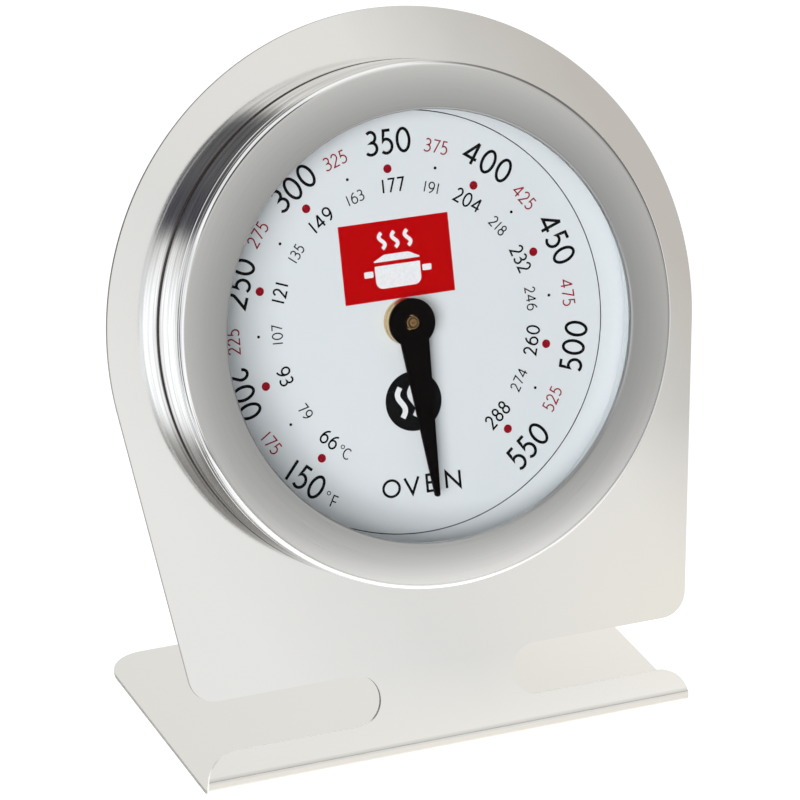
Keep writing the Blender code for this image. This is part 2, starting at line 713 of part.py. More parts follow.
def add_pointer_axle(frame):
    """The pointer's own frame on the arbor's axis, turned to where the pointer rests."""
    axle = bpy.data.objects.new("pointer_axle", None)
    bpy.context.scene.collection.objects.link(axle)
    axle.parent = frame
    axle.rotation_euler = (0.0, REST_TURN, 0.0)
    return axle


def build():
    clear_scene()
    sheet = material("satin_stainless", (0.78, 0.78, 0.76), 1.0, 0.3)
    polished = material("polished_stainless", (0.8, 0.8, 0.79), 1.0, 0.15)
    tinplate = material("tinplate", (0.7, 0.7, 0.69), 1.0, 0.35)
    aluminium = material("aluminium", (0.75, 0.76, 0.77), 1.0, 0.4)
    glass = material("glass", (0.9, 0.95, 0.95), 0.0, 0.03)
    seal = material("silicone", (0.35, 0.12, 0.08), 0.0, 0.6)
    enamel = material("white_enamel", (0.84, 0.88, 0.9), 0.0, 0.4)
    black = material("black_enamel", (0.015, 0.015, 0.015), 0.0, 0.45)
    brass = material("brass", (0.72, 0.55, 0.28), 1.0, 0.3)
    steel = material("steel", (0.55, 0.55, 0.56), 1.0, 0.3)
    bimetal = material("bimetal", (0.6, 0.56, 0.5), 1.0, 0.35)

    frame = add_dial_frame()
    make_stand(sheet, frame)
    make_can(tinplate, frame)
    add_piece("bezel_ring", turned_ring(front_ring_profile(), SEGMENTS_LARGE), polished, frame)
    make_retaining_ring(tinplate, frame)
    make_lens(glass, frame)
    make_gasket(seal, frame)
    make_spacer(aluminium, frame)
    make_dial_seat(aluminium, frame)
    make_dial(enamel, frame)
    make_front_bush(brass, frame)
    make_rear_bush(brass, frame)
    make_bridge(steel, frame)
    for side, place in zip(("left", "right"), pillar_places()):
        make_pillar("pillar_" + side, place, steel, frame)
        make_bridge_screw("bridge_screw_" + side, place, steel, frame)
    make_coil(bimetal, frame)
    make_coil_anchor(steel, frame)
    make_anchor_rivet(steel, frame)

    axle = add_pointer_axle(frame)
    make_arbor(steel, axle)
    make_pointer(black, axle)
    make_pointer_bush(brass, axle)
    make_arbor_clip(steel, axle)
    make_collet(brass, axle)
    make_thrust_washer(brass, axle)


build()
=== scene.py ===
"""Looks for the oven thermometer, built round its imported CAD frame.

Shapes are drawn in the dial's own frame: X to the right, Y straight back along the pointer's
axis, Z up along the face plate. Depths and radii come from the CAD nodes where they can.
"""

import json
import math

import bmesh
import bpy
from mathutils import Matrix, Vector


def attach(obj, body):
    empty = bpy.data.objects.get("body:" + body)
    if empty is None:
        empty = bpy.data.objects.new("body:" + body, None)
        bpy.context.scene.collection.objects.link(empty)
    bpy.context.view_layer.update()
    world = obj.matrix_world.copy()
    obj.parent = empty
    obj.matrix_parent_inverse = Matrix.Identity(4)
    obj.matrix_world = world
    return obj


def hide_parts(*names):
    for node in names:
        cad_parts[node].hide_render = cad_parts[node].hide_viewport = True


MM = 0.001
BODY = "case_and_stand"
TURNING = "pointer_arbor"

# Stand outline, before the foot is folded.
PLATE_RADIUS = 45.1 * MM
SIDE_TAPER = math.radians(8.2)
PLATE_BOTTOM = -49.5 * MM
PLATE_CORNER = 4.0 * MM
SLOT_HEIGHT = 7.56 * MM
SLOT_ROUNDNESS = 0.98
NECK_HALF = 10.4 * MM
FOOT_HALF = 37.8 * MM
FOOT_CORNER = 4.6 * MM
FOLD_START = -60.9 * MM
FOLD_RADIUS = 1.9 * MM
FOLD_STEPS = 24
FOLD_MARGIN = 0.12 * MM
BASE_DEPTH = 45.5 * MM
BASE_CORNER = 6.0 * MM
SHEET = 0.6 * MM
SHEET_EDGE = 0.12 * MM

# Case.
CAN_HOLE = 35.7 * MM
CAN_WALL = 0.5 * MM
CAN_REAR_RADIUS = 35.4 * MM
CAN_BACK_ROUNDING = 1.5 * MM
VENT_RADIUS = 2.2 * MM
VENT_CIRCLE = 23.0 * MM
VENT_COUNT = 8
NECK_RADIUS = 1.1 * MM
GAP = 0.2 * MM
NOTCH_COUNT = 16
NOTCH_WIDTH = 1.6 * MM

# Front ring.
RING_WALL = 0.4 * MM
RING_EDGE_ROUNDING = 0.66 * MM
RING_RISE = 0.75 * MM
RING_BULGE = 0.05 * MM
RING_TAPER = 0.05 * MM
RING_TAPER_LENGTH = 4.5 * MM
RING_GROOVES = ((-6.95 * MM, 0.14 * MM), (-8.3 * MM, 0.06 * MM))
RING_GROOVE_WIDE = 0.34 * MM
RING_BACK_ROLL = 0.35 * MM
LIP_RADIUS = 0.42 * MM
LIP_REACH = 0.3 * MM

# Print on the dial.
INK = 0.02 * MM
FIRST_MARK = 150
LAST_MARK = 550
MARK_STEP = 25
TOP_MARK = 350
TURN_PER_DEGREE = math.radians(0.7)
DOT_CIRCLE = 22.55 * MM
LARGE_DOT = 0.63 * MM
SMALL_DOT = 0.22 * MM
OUTER_LARGE = (3.7 * MM, 0.44 * MM)  # figures, as height and stroke width
OUTER_SMALL = (2.0 * MM, 0.2 * MM)
INNER_LARGE = (2.2 * MM, 0.27 * MM)
INNER_SMALL = (1.7 * MM, 0.18 * MM)
UNIT_OUTER = (1.9 * MM, 0.2 * MM)
TITLE_LETTER = (2.75 * MM, 0.38 * MM)
SCALE_CIRCLE = 30.5 * MM
SCALE_LINE = 0.14 * MM
SIDE_BEARING = 0.11
BLACK_REGISTER = (0.09 * MM, -0.23 * MM, math.radians(0.9))
RED_REGISTER = (-0.34 * MM, -0.47 * MM, math.radians(0.66))
PANEL_SIZE = (16.97 * MM, 11.35 * MM)
PANEL_HEIGHT = 9.55 * MM
BADGE_RADIUS = 4.33 * MM
BADGE_HEIGHT = -11.39 * MM
TITLE_HEIGHT = -23.5 * MM
TITLE_PLACES = (-4.7 * MM, -1.5 * MM, 1.45 * MM, 4.9 * MM)

# Coil.
COIL_INNER = 2.2 * MM
COIL_OUTER = 12.0 * MM
COIL_TURNS = 5.25
COIL_STRIP = 0.5 * MM
COIL_STEPS = 72

# Camera, relative to the face plate.
VIEW_YAW = math.radians(-20.98)
VIEW_PITCH = math.radians(7.99)
VIEW_ROLL = math.radians(-6.47)
VIEW_DISTANCE = 750.4 * MM
VIEW_ASIDE = 0.87 * MM
VIEW_BELOW = 11.27 * MM
LENS_LENGTH = 235.7

# Light: the lamps, what surfaces get from all round, and what the camera sees behind it all.
LAMP_DISTANCE = 0.9
LAMP_SPREAD = math.radians(60.0)
AMBIENT = (0.15, 0.151, 0.156)
BACKDROP = (1.02, 1.02, 1.02)

ROUND = 192
SMALL_ROUND = 64
FILLET_STEP = math.radians(7.5)
SHARP_ANGLE = math.radians(30.0)
RIVETED = ("pillar_left", "pillar_right", "anchor_rivet")


# ---- frame

def dial_matrix(record):
    """The dial's frame in the row's frame, read from the pointer's joint."""
    joint = record["behaviour"]["joints"][0]
    back = Vector(joint["axis"]).normalized()
    right = Vector((1.0, 0.0, 0.0))
    up = right.cross(back)
    turn = Matrix((right, back, up)).transposed().to_4x4()
    return Matrix.Translation(joint["pos_m"]) @ turn


def dial_points(node):
    """A CAD node's vertices in the dial's frame."""
    return [TO_DIAL @ vert.co for vert in frame["nodes"][node].data.vertices]


class Span:
    """Depths of a CAD node, its own axis, and radii round that axis, in the dial's frame."""

    def __init__(self, node):
        points = dial_points(node)
        self.axis = (halfway([p.x for p in points]), halfway([p.z for p in points]))
        radii = [math.hypot(p.x - self.axis[0], p.z - self.axis[1]) for p in points]
        self.front = min(p.y for p in points)
        self.back = max(p.y for p in points)
        self.outer = max(radii)
        self.inner = min(radii)


def halfway(values):
    return (min(values) + max(values)) / 2.0


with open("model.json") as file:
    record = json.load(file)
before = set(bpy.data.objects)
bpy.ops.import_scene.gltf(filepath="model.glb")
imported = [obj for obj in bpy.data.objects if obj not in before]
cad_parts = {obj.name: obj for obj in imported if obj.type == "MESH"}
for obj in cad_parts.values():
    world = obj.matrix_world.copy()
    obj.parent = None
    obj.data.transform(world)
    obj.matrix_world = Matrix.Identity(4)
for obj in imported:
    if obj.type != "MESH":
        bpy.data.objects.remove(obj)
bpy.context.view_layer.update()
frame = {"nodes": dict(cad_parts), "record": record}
DIAL = dial_matrix(frame["record"])
TO_DIAL = DIAL.inverted()
LEAN = math.asin(-DIAL.col[1].z)


# ---- materials

class Wiring:
    """Short calls that add nodes to a tree and link them."""

    def __init__(self, tree):
        self.nodes = tree.nodes
        self.links = tree.links

    def feed(self, socket, value):
        """Set a socket to a number, a colour or a vector, or link another node's output to it."""
        if isinstance(value, bpy.types.NodeSocket):
            self.links.new(value, socket)
        else:
            socket.default_value = (*value, 1.0) if isinstance(value, tuple) else value

    def node(self, kind, inputs, **settings):
        """A new node, with its settings made and its inputs set or linked."""
        node = self.nodes.new("ShaderNode" + kind)
        for name, value in settings.items():
            setattr(node, name, value)
        for name, value in inputs.items():
            self.feed(node.inputs[name], value)
        return node

    def blend(self, factor, first, second, mode="MIX"):
        """Mix two colours, each a tuple or another node's output."""
        inputs = {"Factor": factor, "A": first, "B": second}
        return self.node("Mix", inputs, data_type="RGBA", blend_type=mode).outputs["Result"]

    def span(self, value, low, high, to_low=0.0, to_high=1.0, shape="LINEAR"):
        """Map the values from low to high onto to_low to to_high, and hold them beyond."""
        inputs = {"Value": value, "From Min": low, "From Max": high,
                  "To Min": to_low, "To Max": to_high}
        return self.node("MapRange", inputs, interpolation_type=shape).outputs["Result"]


class Shader(Wiring):
    """A Principled material and a few short calls to wire procedural detail into it."""

    def __init__(self, name, color, metallic, roughness):
        self.material = bpy.data.materials.new(name)
        self.material.use_nodes = True
        self.material.diffuse_color = (*color, 1.0)
        super().__init__(self.material.node_tree)
        self.put("Base Color", color)
        self.put("Metallic", metallic)
        self.put("Roughness", roughness)
        self.row_coords = self.node("TexCoord", {}).outputs["Object"]
        place = {"Vector": self.row_coords, "Location": DIAL.translation,
                 "Rotation": DIAL.to_euler()}
        self.coords = self.node("Mapping", place, vector_type="TEXTURE").outputs[0]

    def put(self, socket, value):
        self.feed(self.nodes["Principled BSDF"].inputs[socket], value)

    def math(self, operation, first, second=0.0):
        return self.node("Math", {0: first, 1: second}, operation=operation).outputs[0]

    def times(self, first, second):
        return self.math("MULTIPLY", first, second)

    def plus(self, first, second):
        return self.math("ADD", first, second)

    def split(self, vector):
        return self.node("SeparateXYZ", {0: vector}).outputs

    def polar(self):
        """Radius, angle and depth round the dial's axis, then the distance across and up."""
        x, depth, z = self.split(self.coords)
        radius = self.math("SQRT", self.plus(self.times(x, x), self.times(z, z)))
        return radius, self.math("ARCTAN2", z, x), depth, x, z

    def vector(self, x, y, z):
        return self.node("CombineXYZ", {0: x, 1: y, 2: z}).outputs[0]

    def around(self, angle, reach, across):
        """Coordinates that run round a circle with no seam, for marks along its rim."""
        return self.vector(self.times(self.math("COSINE", angle), reach),
                           self.times(self.math("SINE", angle), reach), across)

    def stretched(self, x, y, z):
        """Coordinates scaled apart, for a grain that runs one way."""
        return self.node("Mapping", {"Vector": self.coords, "Scale": Vector((x, y, z))}).outputs[0]

    def noise(self, vector, scale, detail=3.0, roughness=0.5):
        inputs = {"Vector": vector, "Scale": scale, "Detail": detail, "Roughness": roughness}
        return self.node("TexNoise", inputs).outputs["Fac"]

    def ramp(self, value, stops):
        node = self.node("ValToRGB", {"Fac": value})
        while len(node.color_ramp.elements) < len(stops):
            node.color_ramp.elements.new(0.5)
        for element, (place, color) in zip(node.color_ramp.elements, stops):
            element.position = place
            element.color = (*color, 1.0)
        return node.outputs["Color"]

    def tint(self, pattern, first, second, edges=(0.3, 0.7)):
        """Base colour that runs from first to second as the pattern passes its two edges."""
        self.put("Base Color", self.blend(self.span(pattern, *edges), first, second))

    def wear(self, pattern, smooth, rough):
        """Roughness that follows the pattern."""
        self.put("Roughness", self.span(pattern, 0.2, 0.8, smooth, rough))

    def bump(self, height, strength, distance=0.02 * MM):
        inputs = {"Strength": strength, "Distance": distance, "Height": height}
        self.put("Normal", self.node("Bump", inputs).outputs["Normal"])
        return self


def rolled_sheet():
    """Bright cold-rolled stainless: faint grain and slow cloudy patches; the colour carries
    painted reflection that runs across the sheet, warmer at the right, and painted shade along the
    fold and its crease.
    """
    look = Shader("rolled_stainless", (0.80, 0.795, 0.775), 1.0, 0.08)
    grain = look.noise(look.stretched(1.0, 30.0, 30.0), 260.0, 4.0, 0.6)
    cloud = look.noise(look.coords, 45.0, 3.0, 0.55)
    x, height = look.polar()[3:]
    across = look.plus(x, look.times(height, 0.5))
    across = look.plus(across, look.span(cloud, 0.2, 0.8, -3.0 * MM, 3.0 * MM))
    # Painted reflection: tones that run across the plate, darker and warmer towards the right.
    shade = look.ramp(look.span(across, -50.0 * MM, 45.0 * MM), [
        (0.0, (0.83, 0.825, 0.81)), (0.28, (0.757, 0.752, 0.737)), (0.6, (0.795, 0.783, 0.752)),
        (0.7, (0.785, 0.772, 0.742)), (0.88, (0.61, 0.595, 0.565)), (1.0, (0.55, 0.52, 0.485))])
    # Painted light: a lighter, warmer patch at the plate's lower right.
    lower = look.span(height, -20.0 * MM, -46.0 * MM)
    corner = look.times(lower, look.span(x, 5.0 * MM, 36.0 * MM))
    shade = look.blend(corner, shade, (0.845, 0.815, 0.755))
    sideways = look.span(x, -38.0 * MM, 38.0 * MM)
    # Painted reflection: the foot strip below the slots gets lighter and warmer towards the right.
    strip = look.ramp(sideways, [(0.0, (0.82, 0.81, 0.775)), (0.6, (0.86, 0.85, 0.81)),
                                 (1.0, (0.915, 0.895, 0.845))])
    shade = look.blend(look.span(height, -50.0 * MM, -60.0 * MM), shade, strip)
    # Painted shade: the fold and the sheet below it are darker.
    fold_edges = (-61.2 * MM, -61.5 * MM)
    shade = look.blend(look.span(height, *fold_edges), shade, (0.63, 0.605, 0.56))
    # Painted shade: a dark line along the crease at the top of the fold.
    crease_shade = look.times(look.span(height, -60.3 * MM, -61.1 * MM, 0.0, 0.5),
                        look.span(height, *fold_edges, 1.0, 0.0))
    shade = look.blend(crease_shade, shade, (0.25, 0.24, 0.22))
    # Painted reflection: the base lying on the floor gets lighter and warmer towards the right.
    base = look.ramp(sideways, [(0.0, (0.755, 0.745, 0.71)), (0.3, (0.775, 0.765, 0.73)),
                                (0.75, (0.81, 0.785, 0.735)), (1.0, (0.885, 0.86, 0.80))])
    lying = look.span(look.split(look.row_coords)[2], 1.0 * MM, 1.4 * MM, 1.0, 0.0)
    look.put("Base Color", look.blend(lying, shade, base))
    look.put("Roughness", look.plus(look.span(grain, 0.2, 0.8, 0.06, 0.1),
                                    look.span(cloud, 0.3, 0.7, -0.01, 0.01)))
    return look.bump(grain, 0.04)


def sheared_edge():
    """The sheet's cut edge: duller, with fine shear lines across it, and a painted highlight that
    makes it bright along the foot.
    """
    look = Shader("sheared_edge", (0.3, 0.29, 0.28), 1.0, 0.38)
    depth, _, height = look.polar()[2:]
    lines = look.noise(look.stretched(14.0, 1.0, 14.0), 300.0, 3.0, 0.6)
    dull = look.blend(look.span(lines, 0.3, 0.7), (0.22, 0.21, 0.2), (0.40, 0.39, 0.37))
    # Painted highlight: the cut edges below the slots, on the plate's front part, are made bright.
    low = look.times(look.span(height, -56.2 * MM, -56.6 * MM),
                     look.span(depth, 1.0 * MM, 1.5 * MM, 1.0, 0.0))
    look.put("Base Color", look.blend(low, dull, (0.84, 0.82, 0.78)))
    look.wear(lines, 0.3, 0.45)
    return look.bump(lines, 0.2, 0.03 * MM)


def ring_grain(look):
    """Fine marks that run round the dial's axis."""
    radius, angle, depth = look.polar()[:3]
    across = look.times(look.plus(radius, depth), 900.0)
    return look.noise(look.around(angle, 0.35, across), 3.0, 4.0, 0.65)


def spun_metal(name, color, roughness, grain_strength):
    """Turned or drawn metal: the marks run round the dial's axis."""
    look = Shader(name, color, 1.0, roughness)
    grain = ring_grain(look)
    cloud = look.noise(look.coords, 70.0)
    look.tint(grain, darker(color, 0.9), color, (0.25, 0.75))
    look.put("Roughness", look.plus(look.span(grain, 0.2, 0.8, roughness * 0.8, roughness * 1.2),
                                    look.span(cloud, 0.3, 0.7, -0.02, 0.03)))
    return look.bump(grain, grain_strength)


def polished_ring():
    """The front ring: a satin face with painted shade that darkens it towards the window, a
    mirror-like side with painted reflection streaks, painted light on top and bottom, and a
    painted contact shadow at the back.
    """
    look = Shader("polished_ring", (0.76, 0.755, 0.74), 1.0, 0.16)
    grain = ring_grain(look)
    radius, angle, depth, x, height = look.polar()
    # Painted shade: the face's colour runs darker towards the window.
    face = look.ramp(look.span(radius, 30.8 * MM, 37.8 * MM), [
        (0.0, (0.365, 0.365, 0.362)), (0.14, (0.385, 0.385, 0.38)), (0.5, (0.46, 0.457, 0.447)),
        (0.88, (0.56, 0.555, 0.54)), (0.92, (0.80, 0.80, 0.795))])
    # Painted light: the ring is made lighter towards the top and more so towards the bottom.
    rise = look.times(height, 1.0 / (34.5 * MM))
    rise = look.times(rise, look.plus(look.times(rise, 0.2), -0.1))
    tone = look.times(look.span(grain, 0.25, 0.75, 0.93, 1.0), look.plus(rise, 1.0))
    # Painted shade: the rounded edge and the side wall are darker on the right.
    rounded = look.span(radius, 36.75 * MM, 36.95 * MM)
    right = look.math("POWER", look.span(x, 5.0 * MM, 30.0 * MM, 1.0, 0.72), rounded)
    side = look.span(radius, 37.2 * MM, 37.4 * MM)
    # Painted reflection: noise bands along the side wall stand in for reflected streaks.
    band = look.noise(look.around(angle, 1.5, look.times(depth, 1100.0)), 1.0, 3.0, 0.6)
    painted_streaks = look.math("POWER", look.span(band, 0.35, 0.65, 0.6, 1.3), side)
    tone = look.times(look.times(tone, right), painted_streaks)
    # The face's painted shade times the grain, the painted light, the painted shade on the right
    # and the painted streaks.
    grain_and_painted_shading = look.blend(1.0, face, look.vector(tone, tone, tone), "MULTIPLY")
    # Painted contact shadow: near-black at the back edge where the ring meets the plate.
    contact_shadow = look.span(depth, -0.9 * MM, -0.5 * MM, 0.0, 0.95)
    look.put("Base Color", look.blend(contact_shadow, grain_and_painted_shading, (0.03, 0.02, 0.017)))
    satin = look.span(radius, 36.75 * MM, 37.15 * MM, 0.3, 0.07)
    look.put("Roughness", look.times(satin, look.span(grain, 0.2, 0.8, 0.85, 1.2)))
    return look.bump(grain, 0.06)


def darker(color, share):
    return tuple(channel * share for channel in color)


def plain_metal(name, color, roughness):
    """Small parts inside the case: bright metal with tool marks and a mottled finish."""
    look = Shader(name, color, 1.0, roughness)
    mottle = look.noise(look.coords, 900.0, 4.0, 0.6)
    look.tint(mottle, darker(color, 0.8), color)
    look.wear(mottle, roughness * 0.75, roughness * 1.3)
    return look.bump(mottle, 0.15)


def enamel():
    """White baked enamel: a cool white with a trace of orange peel."""
    look = Shader("dial_enamel", (0.74, 0.79, 0.815), 0.0, 0.42)
    look.put("Specular IOR Level", 0.3)
    peel = look.noise(look.coords, 1500.0, 2.0)
    look.tint(look.noise(look.coords, 60.0, 2.0), (0.735, 0.785, 0.81), (0.75, 0.795, 0.82))
    look.wear(peel, 0.38, 0.46)
    return look.bump(peel, 0.05)


def ink(name, color):
    """Screen-printed ink with a slightly uneven film."""
    look = Shader(name, color, 0.0, 0.45)
    look.put("Specular IOR Level", 0.02)
    film = look.noise(look.coords, 2200.0, 3.0, 0.6)
    look.tint(film, color, tuple(min(1.0, channel * 1.12 + 0.001) for channel in color))
    look.wear(film, 0.4, 0.5)
    return look.bump(film, 0.05, 0.01 * MM)


def black_lacquer():
    """The pointer's satin black, with dust-fine texture."""
    look = Shader("pointer_black", (0.003, 0.002, 0.002), 0.0, 0.4)
    look.put("Specular IOR Level", 0.02)
    dust = look.noise(look.coords, 2600.0, 3.0, 0.6)
    look.tint(dust, (0.0016, 0.001, 0.001), (0.004, 0.0025, 0.0025), (0.35, 0.8))
    look.wear(dust, 0.36, 0.5)
    return look.bump(dust, 0.08)


def window_glass():
    """Clear glass that hides almost nothing, with faint smears."""
    look = Shader("window_glass", (0.004, 0.005, 0.005), 0.0, 0.03)
    look.put("Alpha", 0.03)
    smear = look.noise(look.stretched(1.0, 1.0, 2.5), 40.0)
    look.put("Roughness", look.span(smear, 0.3, 0.8, 0.02, 0.06))
    return look


def rubber():
    look = Shader("seal_rubber", (0.33, 0.11, 0.07), 0.0, 0.6)
    grit = look.noise(look.coords, 1800.0, 3.0, 0.6)
    look.tint(grit, (0.28, 0.09, 0.06), (0.38, 0.14, 0.09))
    look.wear(grit, 0.52, 0.7)
    return look.bump(grit, 0.2, 0.03 * MM)


# ---- mesh tools

def new_object(name, data):
    """Put a mesh, a lamp or the camera into the scene."""
    item = bpy.data.objects.new(name, data)
    bpy.context.scene.collection.objects.link(item)
    return item


def new_mesh(name, mesh_data):
    """Mesh from a bmesh drawn in the dial's frame, smooth where it is round."""
    mesh_data.transform(DIAL)
    mesh = bpy.data.meshes.new(name)
    mesh_data.to_mesh(mesh)
    mesh_data.free()
    smooth(mesh)
    return mesh


def smooth(mesh):
    mesh.shade_smooth()
    mesh.set_sharp_from_angle(angle=SHARP_ANGLE)


def new_piece(name, mesh_data, look, body=BODY, replaces=None):
    """Turn a bmesh into a finished piece that rides on a body."""
    mesh = new_mesh(name, mesh_data)
    mesh.materials.append(look.material)
    piece = new_object(name, mesh)
    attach(piece, body)
    if replaces:
        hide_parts(replaces)
    return piece


def rounded_edges(piece, width, segments=2, angle=SHARP_ANGLE):
    bevel = piece.modifiers.new("edges", "BEVEL")
    bevel.width = width
    bevel.segments = segments
    bevel.limit_method = "ANGLE"
    bevel.angle_limit = angle
    bevel.harden_normals = True
    return bevel


def baked(piece):
    """Apply the piece's modifiers to its mesh."""
    graph = bpy.context.evaluated_depsgraph_get()
    mesh = bpy.data.meshes.new_from_object(piece.evaluated_get(graph))
    piece.modifiers.clear()
    piece.data = mesh
    return piece


def arc(center, radius, start, end, steps):
    """Points on an arc, both ends included; a pair of radii makes it an ellipse's."""
    wide, tall = radius if isinstance(radius, tuple) else (radius, radius)
    angles = [start + (end - start) * step / steps for step in range(steps + 1)]
    return [(center[0] + wide * math.cos(angle), center[1] + tall * math.sin(angle))
            for angle in angles]


def circle(radius, segments, center=(0.0, 0.0)):
    return arc(center, radius, 0.0, math.tau, segments)[:-1]


def rounded_outline(corners):
    """Replace each (x, z, radius) corner with an arc that is tangent to both its sides."""
    points = []
    for index, (x, z, radius) in enumerate(corners):
        corner = Vector((x, z))
        if radius == 0.0:
            points.append(corner)
            continue
        before = (Vector(corners[index - 1][:2]) - corner).normalized()
        after = (Vector(corners[(index + 1) % len(corners)][:2]) - corner).normalized()
        half = before.angle(after) / 2.0
        start = corner + before * (radius / math.tan(half))
        end = corner + after * (radius / math.tan(half))
        center = corner + (before + after).normalized() * (radius / math.sin(half))
        sweep = (start - center).angle_signed(end - center)
        first = math.atan2(start.y - center.y, start.x - center.x)
        steps = max(4, round(abs(sweep) / FILLET_STEP))
        points.extend(Vector(point) for point in arc(center, radius, first, first - sweep, steps))
    clean = []
    for point in points:
        if not clean or (point - clean[-1]).length > 0.001 * MM:
            clean.append(point)
    return clean


def filled_face(outline, holes, depth):
    """A flat face at one depth, with holes, its normal towards the front."""
    mesh_data = bmesh.new()
    for border in [outline, *holes]:
        verts = [mesh_data.verts.new((x, depth, z)) for x, z in border]
        for pair in zip(verts, [*verts[1:], verts[0]]):
            mesh_data.edges.new(pair)
    bmesh.ops.triangle_fill(mesh_data, use_beauty=True, edges=mesh_data.edges[:])
    for face in mesh_data.faces:
        face.normal_update()
        if face.normal.y > 0.0:
            face.normal_flip()
    return mesh_data


def cut_sheet(outline, holes, front, back):
    """A flat piece between two depths, with straight sides."""
    mesh_data = filled_face(outline, holes, front)
    grown = bmesh.ops.extrude_face_region(mesh_data, geom=mesh_data.faces[:])
    moved = [item for item in grown["geom"] if isinstance(item, bmesh.types.BMVert)]
    bmesh.ops.translate(mesh_data, verts=moved, vec=(0.0, back - front, 0.0))
    bmesh.ops.recalc_face_normals(mesh_data, faces=mesh_data.faces[:])
    return mesh_data


def skin(mesh_data, rings, closed):
    """Faces between each ring of vertices and the next, with an end face on an open run."""
    ahead = [*rings[1:], rings[0]] if closed else rings[1:]
    for lower, upper in zip(rings, ahead):
        for index, vert in enumerate(lower):
            after = (index + 1) % len(lower)
            mesh_data.faces.new((vert, lower[after], upper[after], upper[index]))
    if not closed:
        mesh_data.faces.new(rings[0])
        mesh_data.faces.new(rings[-1])
    bmesh.ops.recalc_face_normals(mesh_data, faces=mesh_data.faces[:])
    return mesh_data


def turned(profile, segments, closed=True, axis=(0.0, 0.0)):
    """Spin (radius, depth) points round an axis: a closed loop, or a line ended by discs."""
    mesh_data = bmesh.new()
    rings = [[mesh_data.verts.new((x, depth, z)) for x, z in circle(radius, segments, axis)]
             for radius, depth in profile]
    return skin(mesh_data, rings, closed)


def domed(radius, back, rise):
    """Profile of a round head that bulges towards the back, from its rim to its middle."""
    shares = [math.sin(math.pi / 2.0 * step / 8) for step in range(8, 0, -1)]
    return [(radius * share, back - rise * (1.0 - math.sqrt(1.0 - share * share)))
            for share in shares]


def combine(piece, tool, operation):
    """Join another object to the piece, or cut it away, and apply that."""
    change = piece.modifiers.new("change", "BOOLEAN")
    change.operation = operation
    change.solver = "EXACT"
    change.object = tool
    baked(piece)
    bpy.data.objects.remove(tool, do_unlink=True)


def cut_away(piece, mesh_data):
    """Cut a mesh drawn in the dial's frame out of the piece."""
    combine(piece, new_object("tool", new_mesh("tool", mesh_data)), "DIFFERENCE")
    smooth(piece.data)


def add_pin(mesh_data, x, z, radius, depth):
    """A short straight pin along the dial's axis, for cutting a round hole through a sheet."""
    place = Matrix.Translation((x, depth, z)) @ Matrix.Rotation(math.pi / 2.0, 4, "X")
    bmesh.ops.create_cone(
        mesh_data, cap_ends=True, segments=SMALL_ROUND, radius1=radius, radius2=radius,
        depth=4.0 * MM, matrix=place)


# ---- stand

def stand_blank_outline():
    """The sheet before it is folded: plate, neck between two slots, foot and base."""
    plate_half = PLATE_RADIUS / math.cos(SIDE_TAPER) + PLATE_BOTTOM * math.tan(SIDE_TAPER)
    slot_bottom = PLATE_BOTTOM - SLOT_HEIGHT
    slot_round = SLOT_ROUNDNESS * SLOT_HEIGHT / 2.0
    left = [
        (-plate_half, PLATE_BOTTOM, PLATE_CORNER),
        (-NECK_HALF, PLATE_BOTTOM, slot_round),
        (-NECK_HALF, slot_bottom, slot_round),
        (-FOOT_HALF, slot_bottom, FOOT_CORNER),
        (-FOOT_HALF, blank_end(), BASE_CORNER),
    ]
    right = [(-x, z, radius) for x, z, radius in reversed(left)]
    top = arc((0.0, 0.0), PLATE_RADIUS, -SIDE_TAPER, math.pi + SIDE_TAPER, ROUND)
    return rounded_outline([*[(x, z, 0.0) for x, z in top], *left, *right])


def fold_sweep():
    """The sheet turns a right angle and then the plate's lean."""
    return math.pi / 2.0 + LEAN


def blank_end():
    setback = FOLD_RADIUS * math.tan(fold_sweep() / 2.0)
    return FOLD_START - FOLD_RADIUS * fold_sweep() - (BASE_DEPTH - setback)


def fold(point):
    """Move one point of the flat blank to its place on the folded sheet's outer face."""
    beyond = FOLD_START - point.z
    if beyond <= 0.0:
        return Vector((point.x, 0.0, point.z))
    turn = min(beyond / FOLD_RADIUS, fold_sweep())
    straight = beyond - turn * FOLD_RADIUS
    depth = FOLD_RADIUS * (1.0 - math.cos(turn)) + straight * math.sin(turn)
    height = FOLD_START - FOLD_RADIUS * math.sin(turn) - straight * math.cos(turn)
    return Vector((point.x, depth, height))


def make_stand(look, edge):
    """One sheet: leaning plate with side slots, rounded fold and flat foot."""
    mesh_data = filled_face(stand_blank_outline(), [circle(CAN_HOLE, ROUND)], 0.0)
    length = FOLD_RADIUS * fold_sweep()
    levels = [FOLD_START - length * step / FOLD_STEPS for step in range(FOLD_STEPS + 1)]
    for level in [FOLD_START + FOLD_MARGIN, *levels, FOLD_START - length - FOLD_MARGIN]:
        everything = mesh_data.verts[:] + mesh_data.edges[:] + mesh_data.faces[:]
        bmesh.ops.bisect_plane(
            mesh_data, geom=everything, plane_co=(0.0, 0.0, level), plane_no=(0.0, 0.0, 1.0))
    for vert in mesh_data.verts:
        vert.co = fold(vert.co)
    stand = new_piece("stand_sheet", mesh_data, look, replaces="stand")
    stand.data.materials.append(edge.material)
    thickness = stand.modifiers.new("sheet", "SOLIDIFY")
    thickness.thickness = SHEET
    thickness.offset = -1.0
    thickness.use_even_offset = True
    thickness.material_offset_rim = 1
    baked(stand)
    rounded_edges(stand, SHEET_EDGE, 2, math.radians(50.0)).material = 1
    baked(stand)


# ---- case

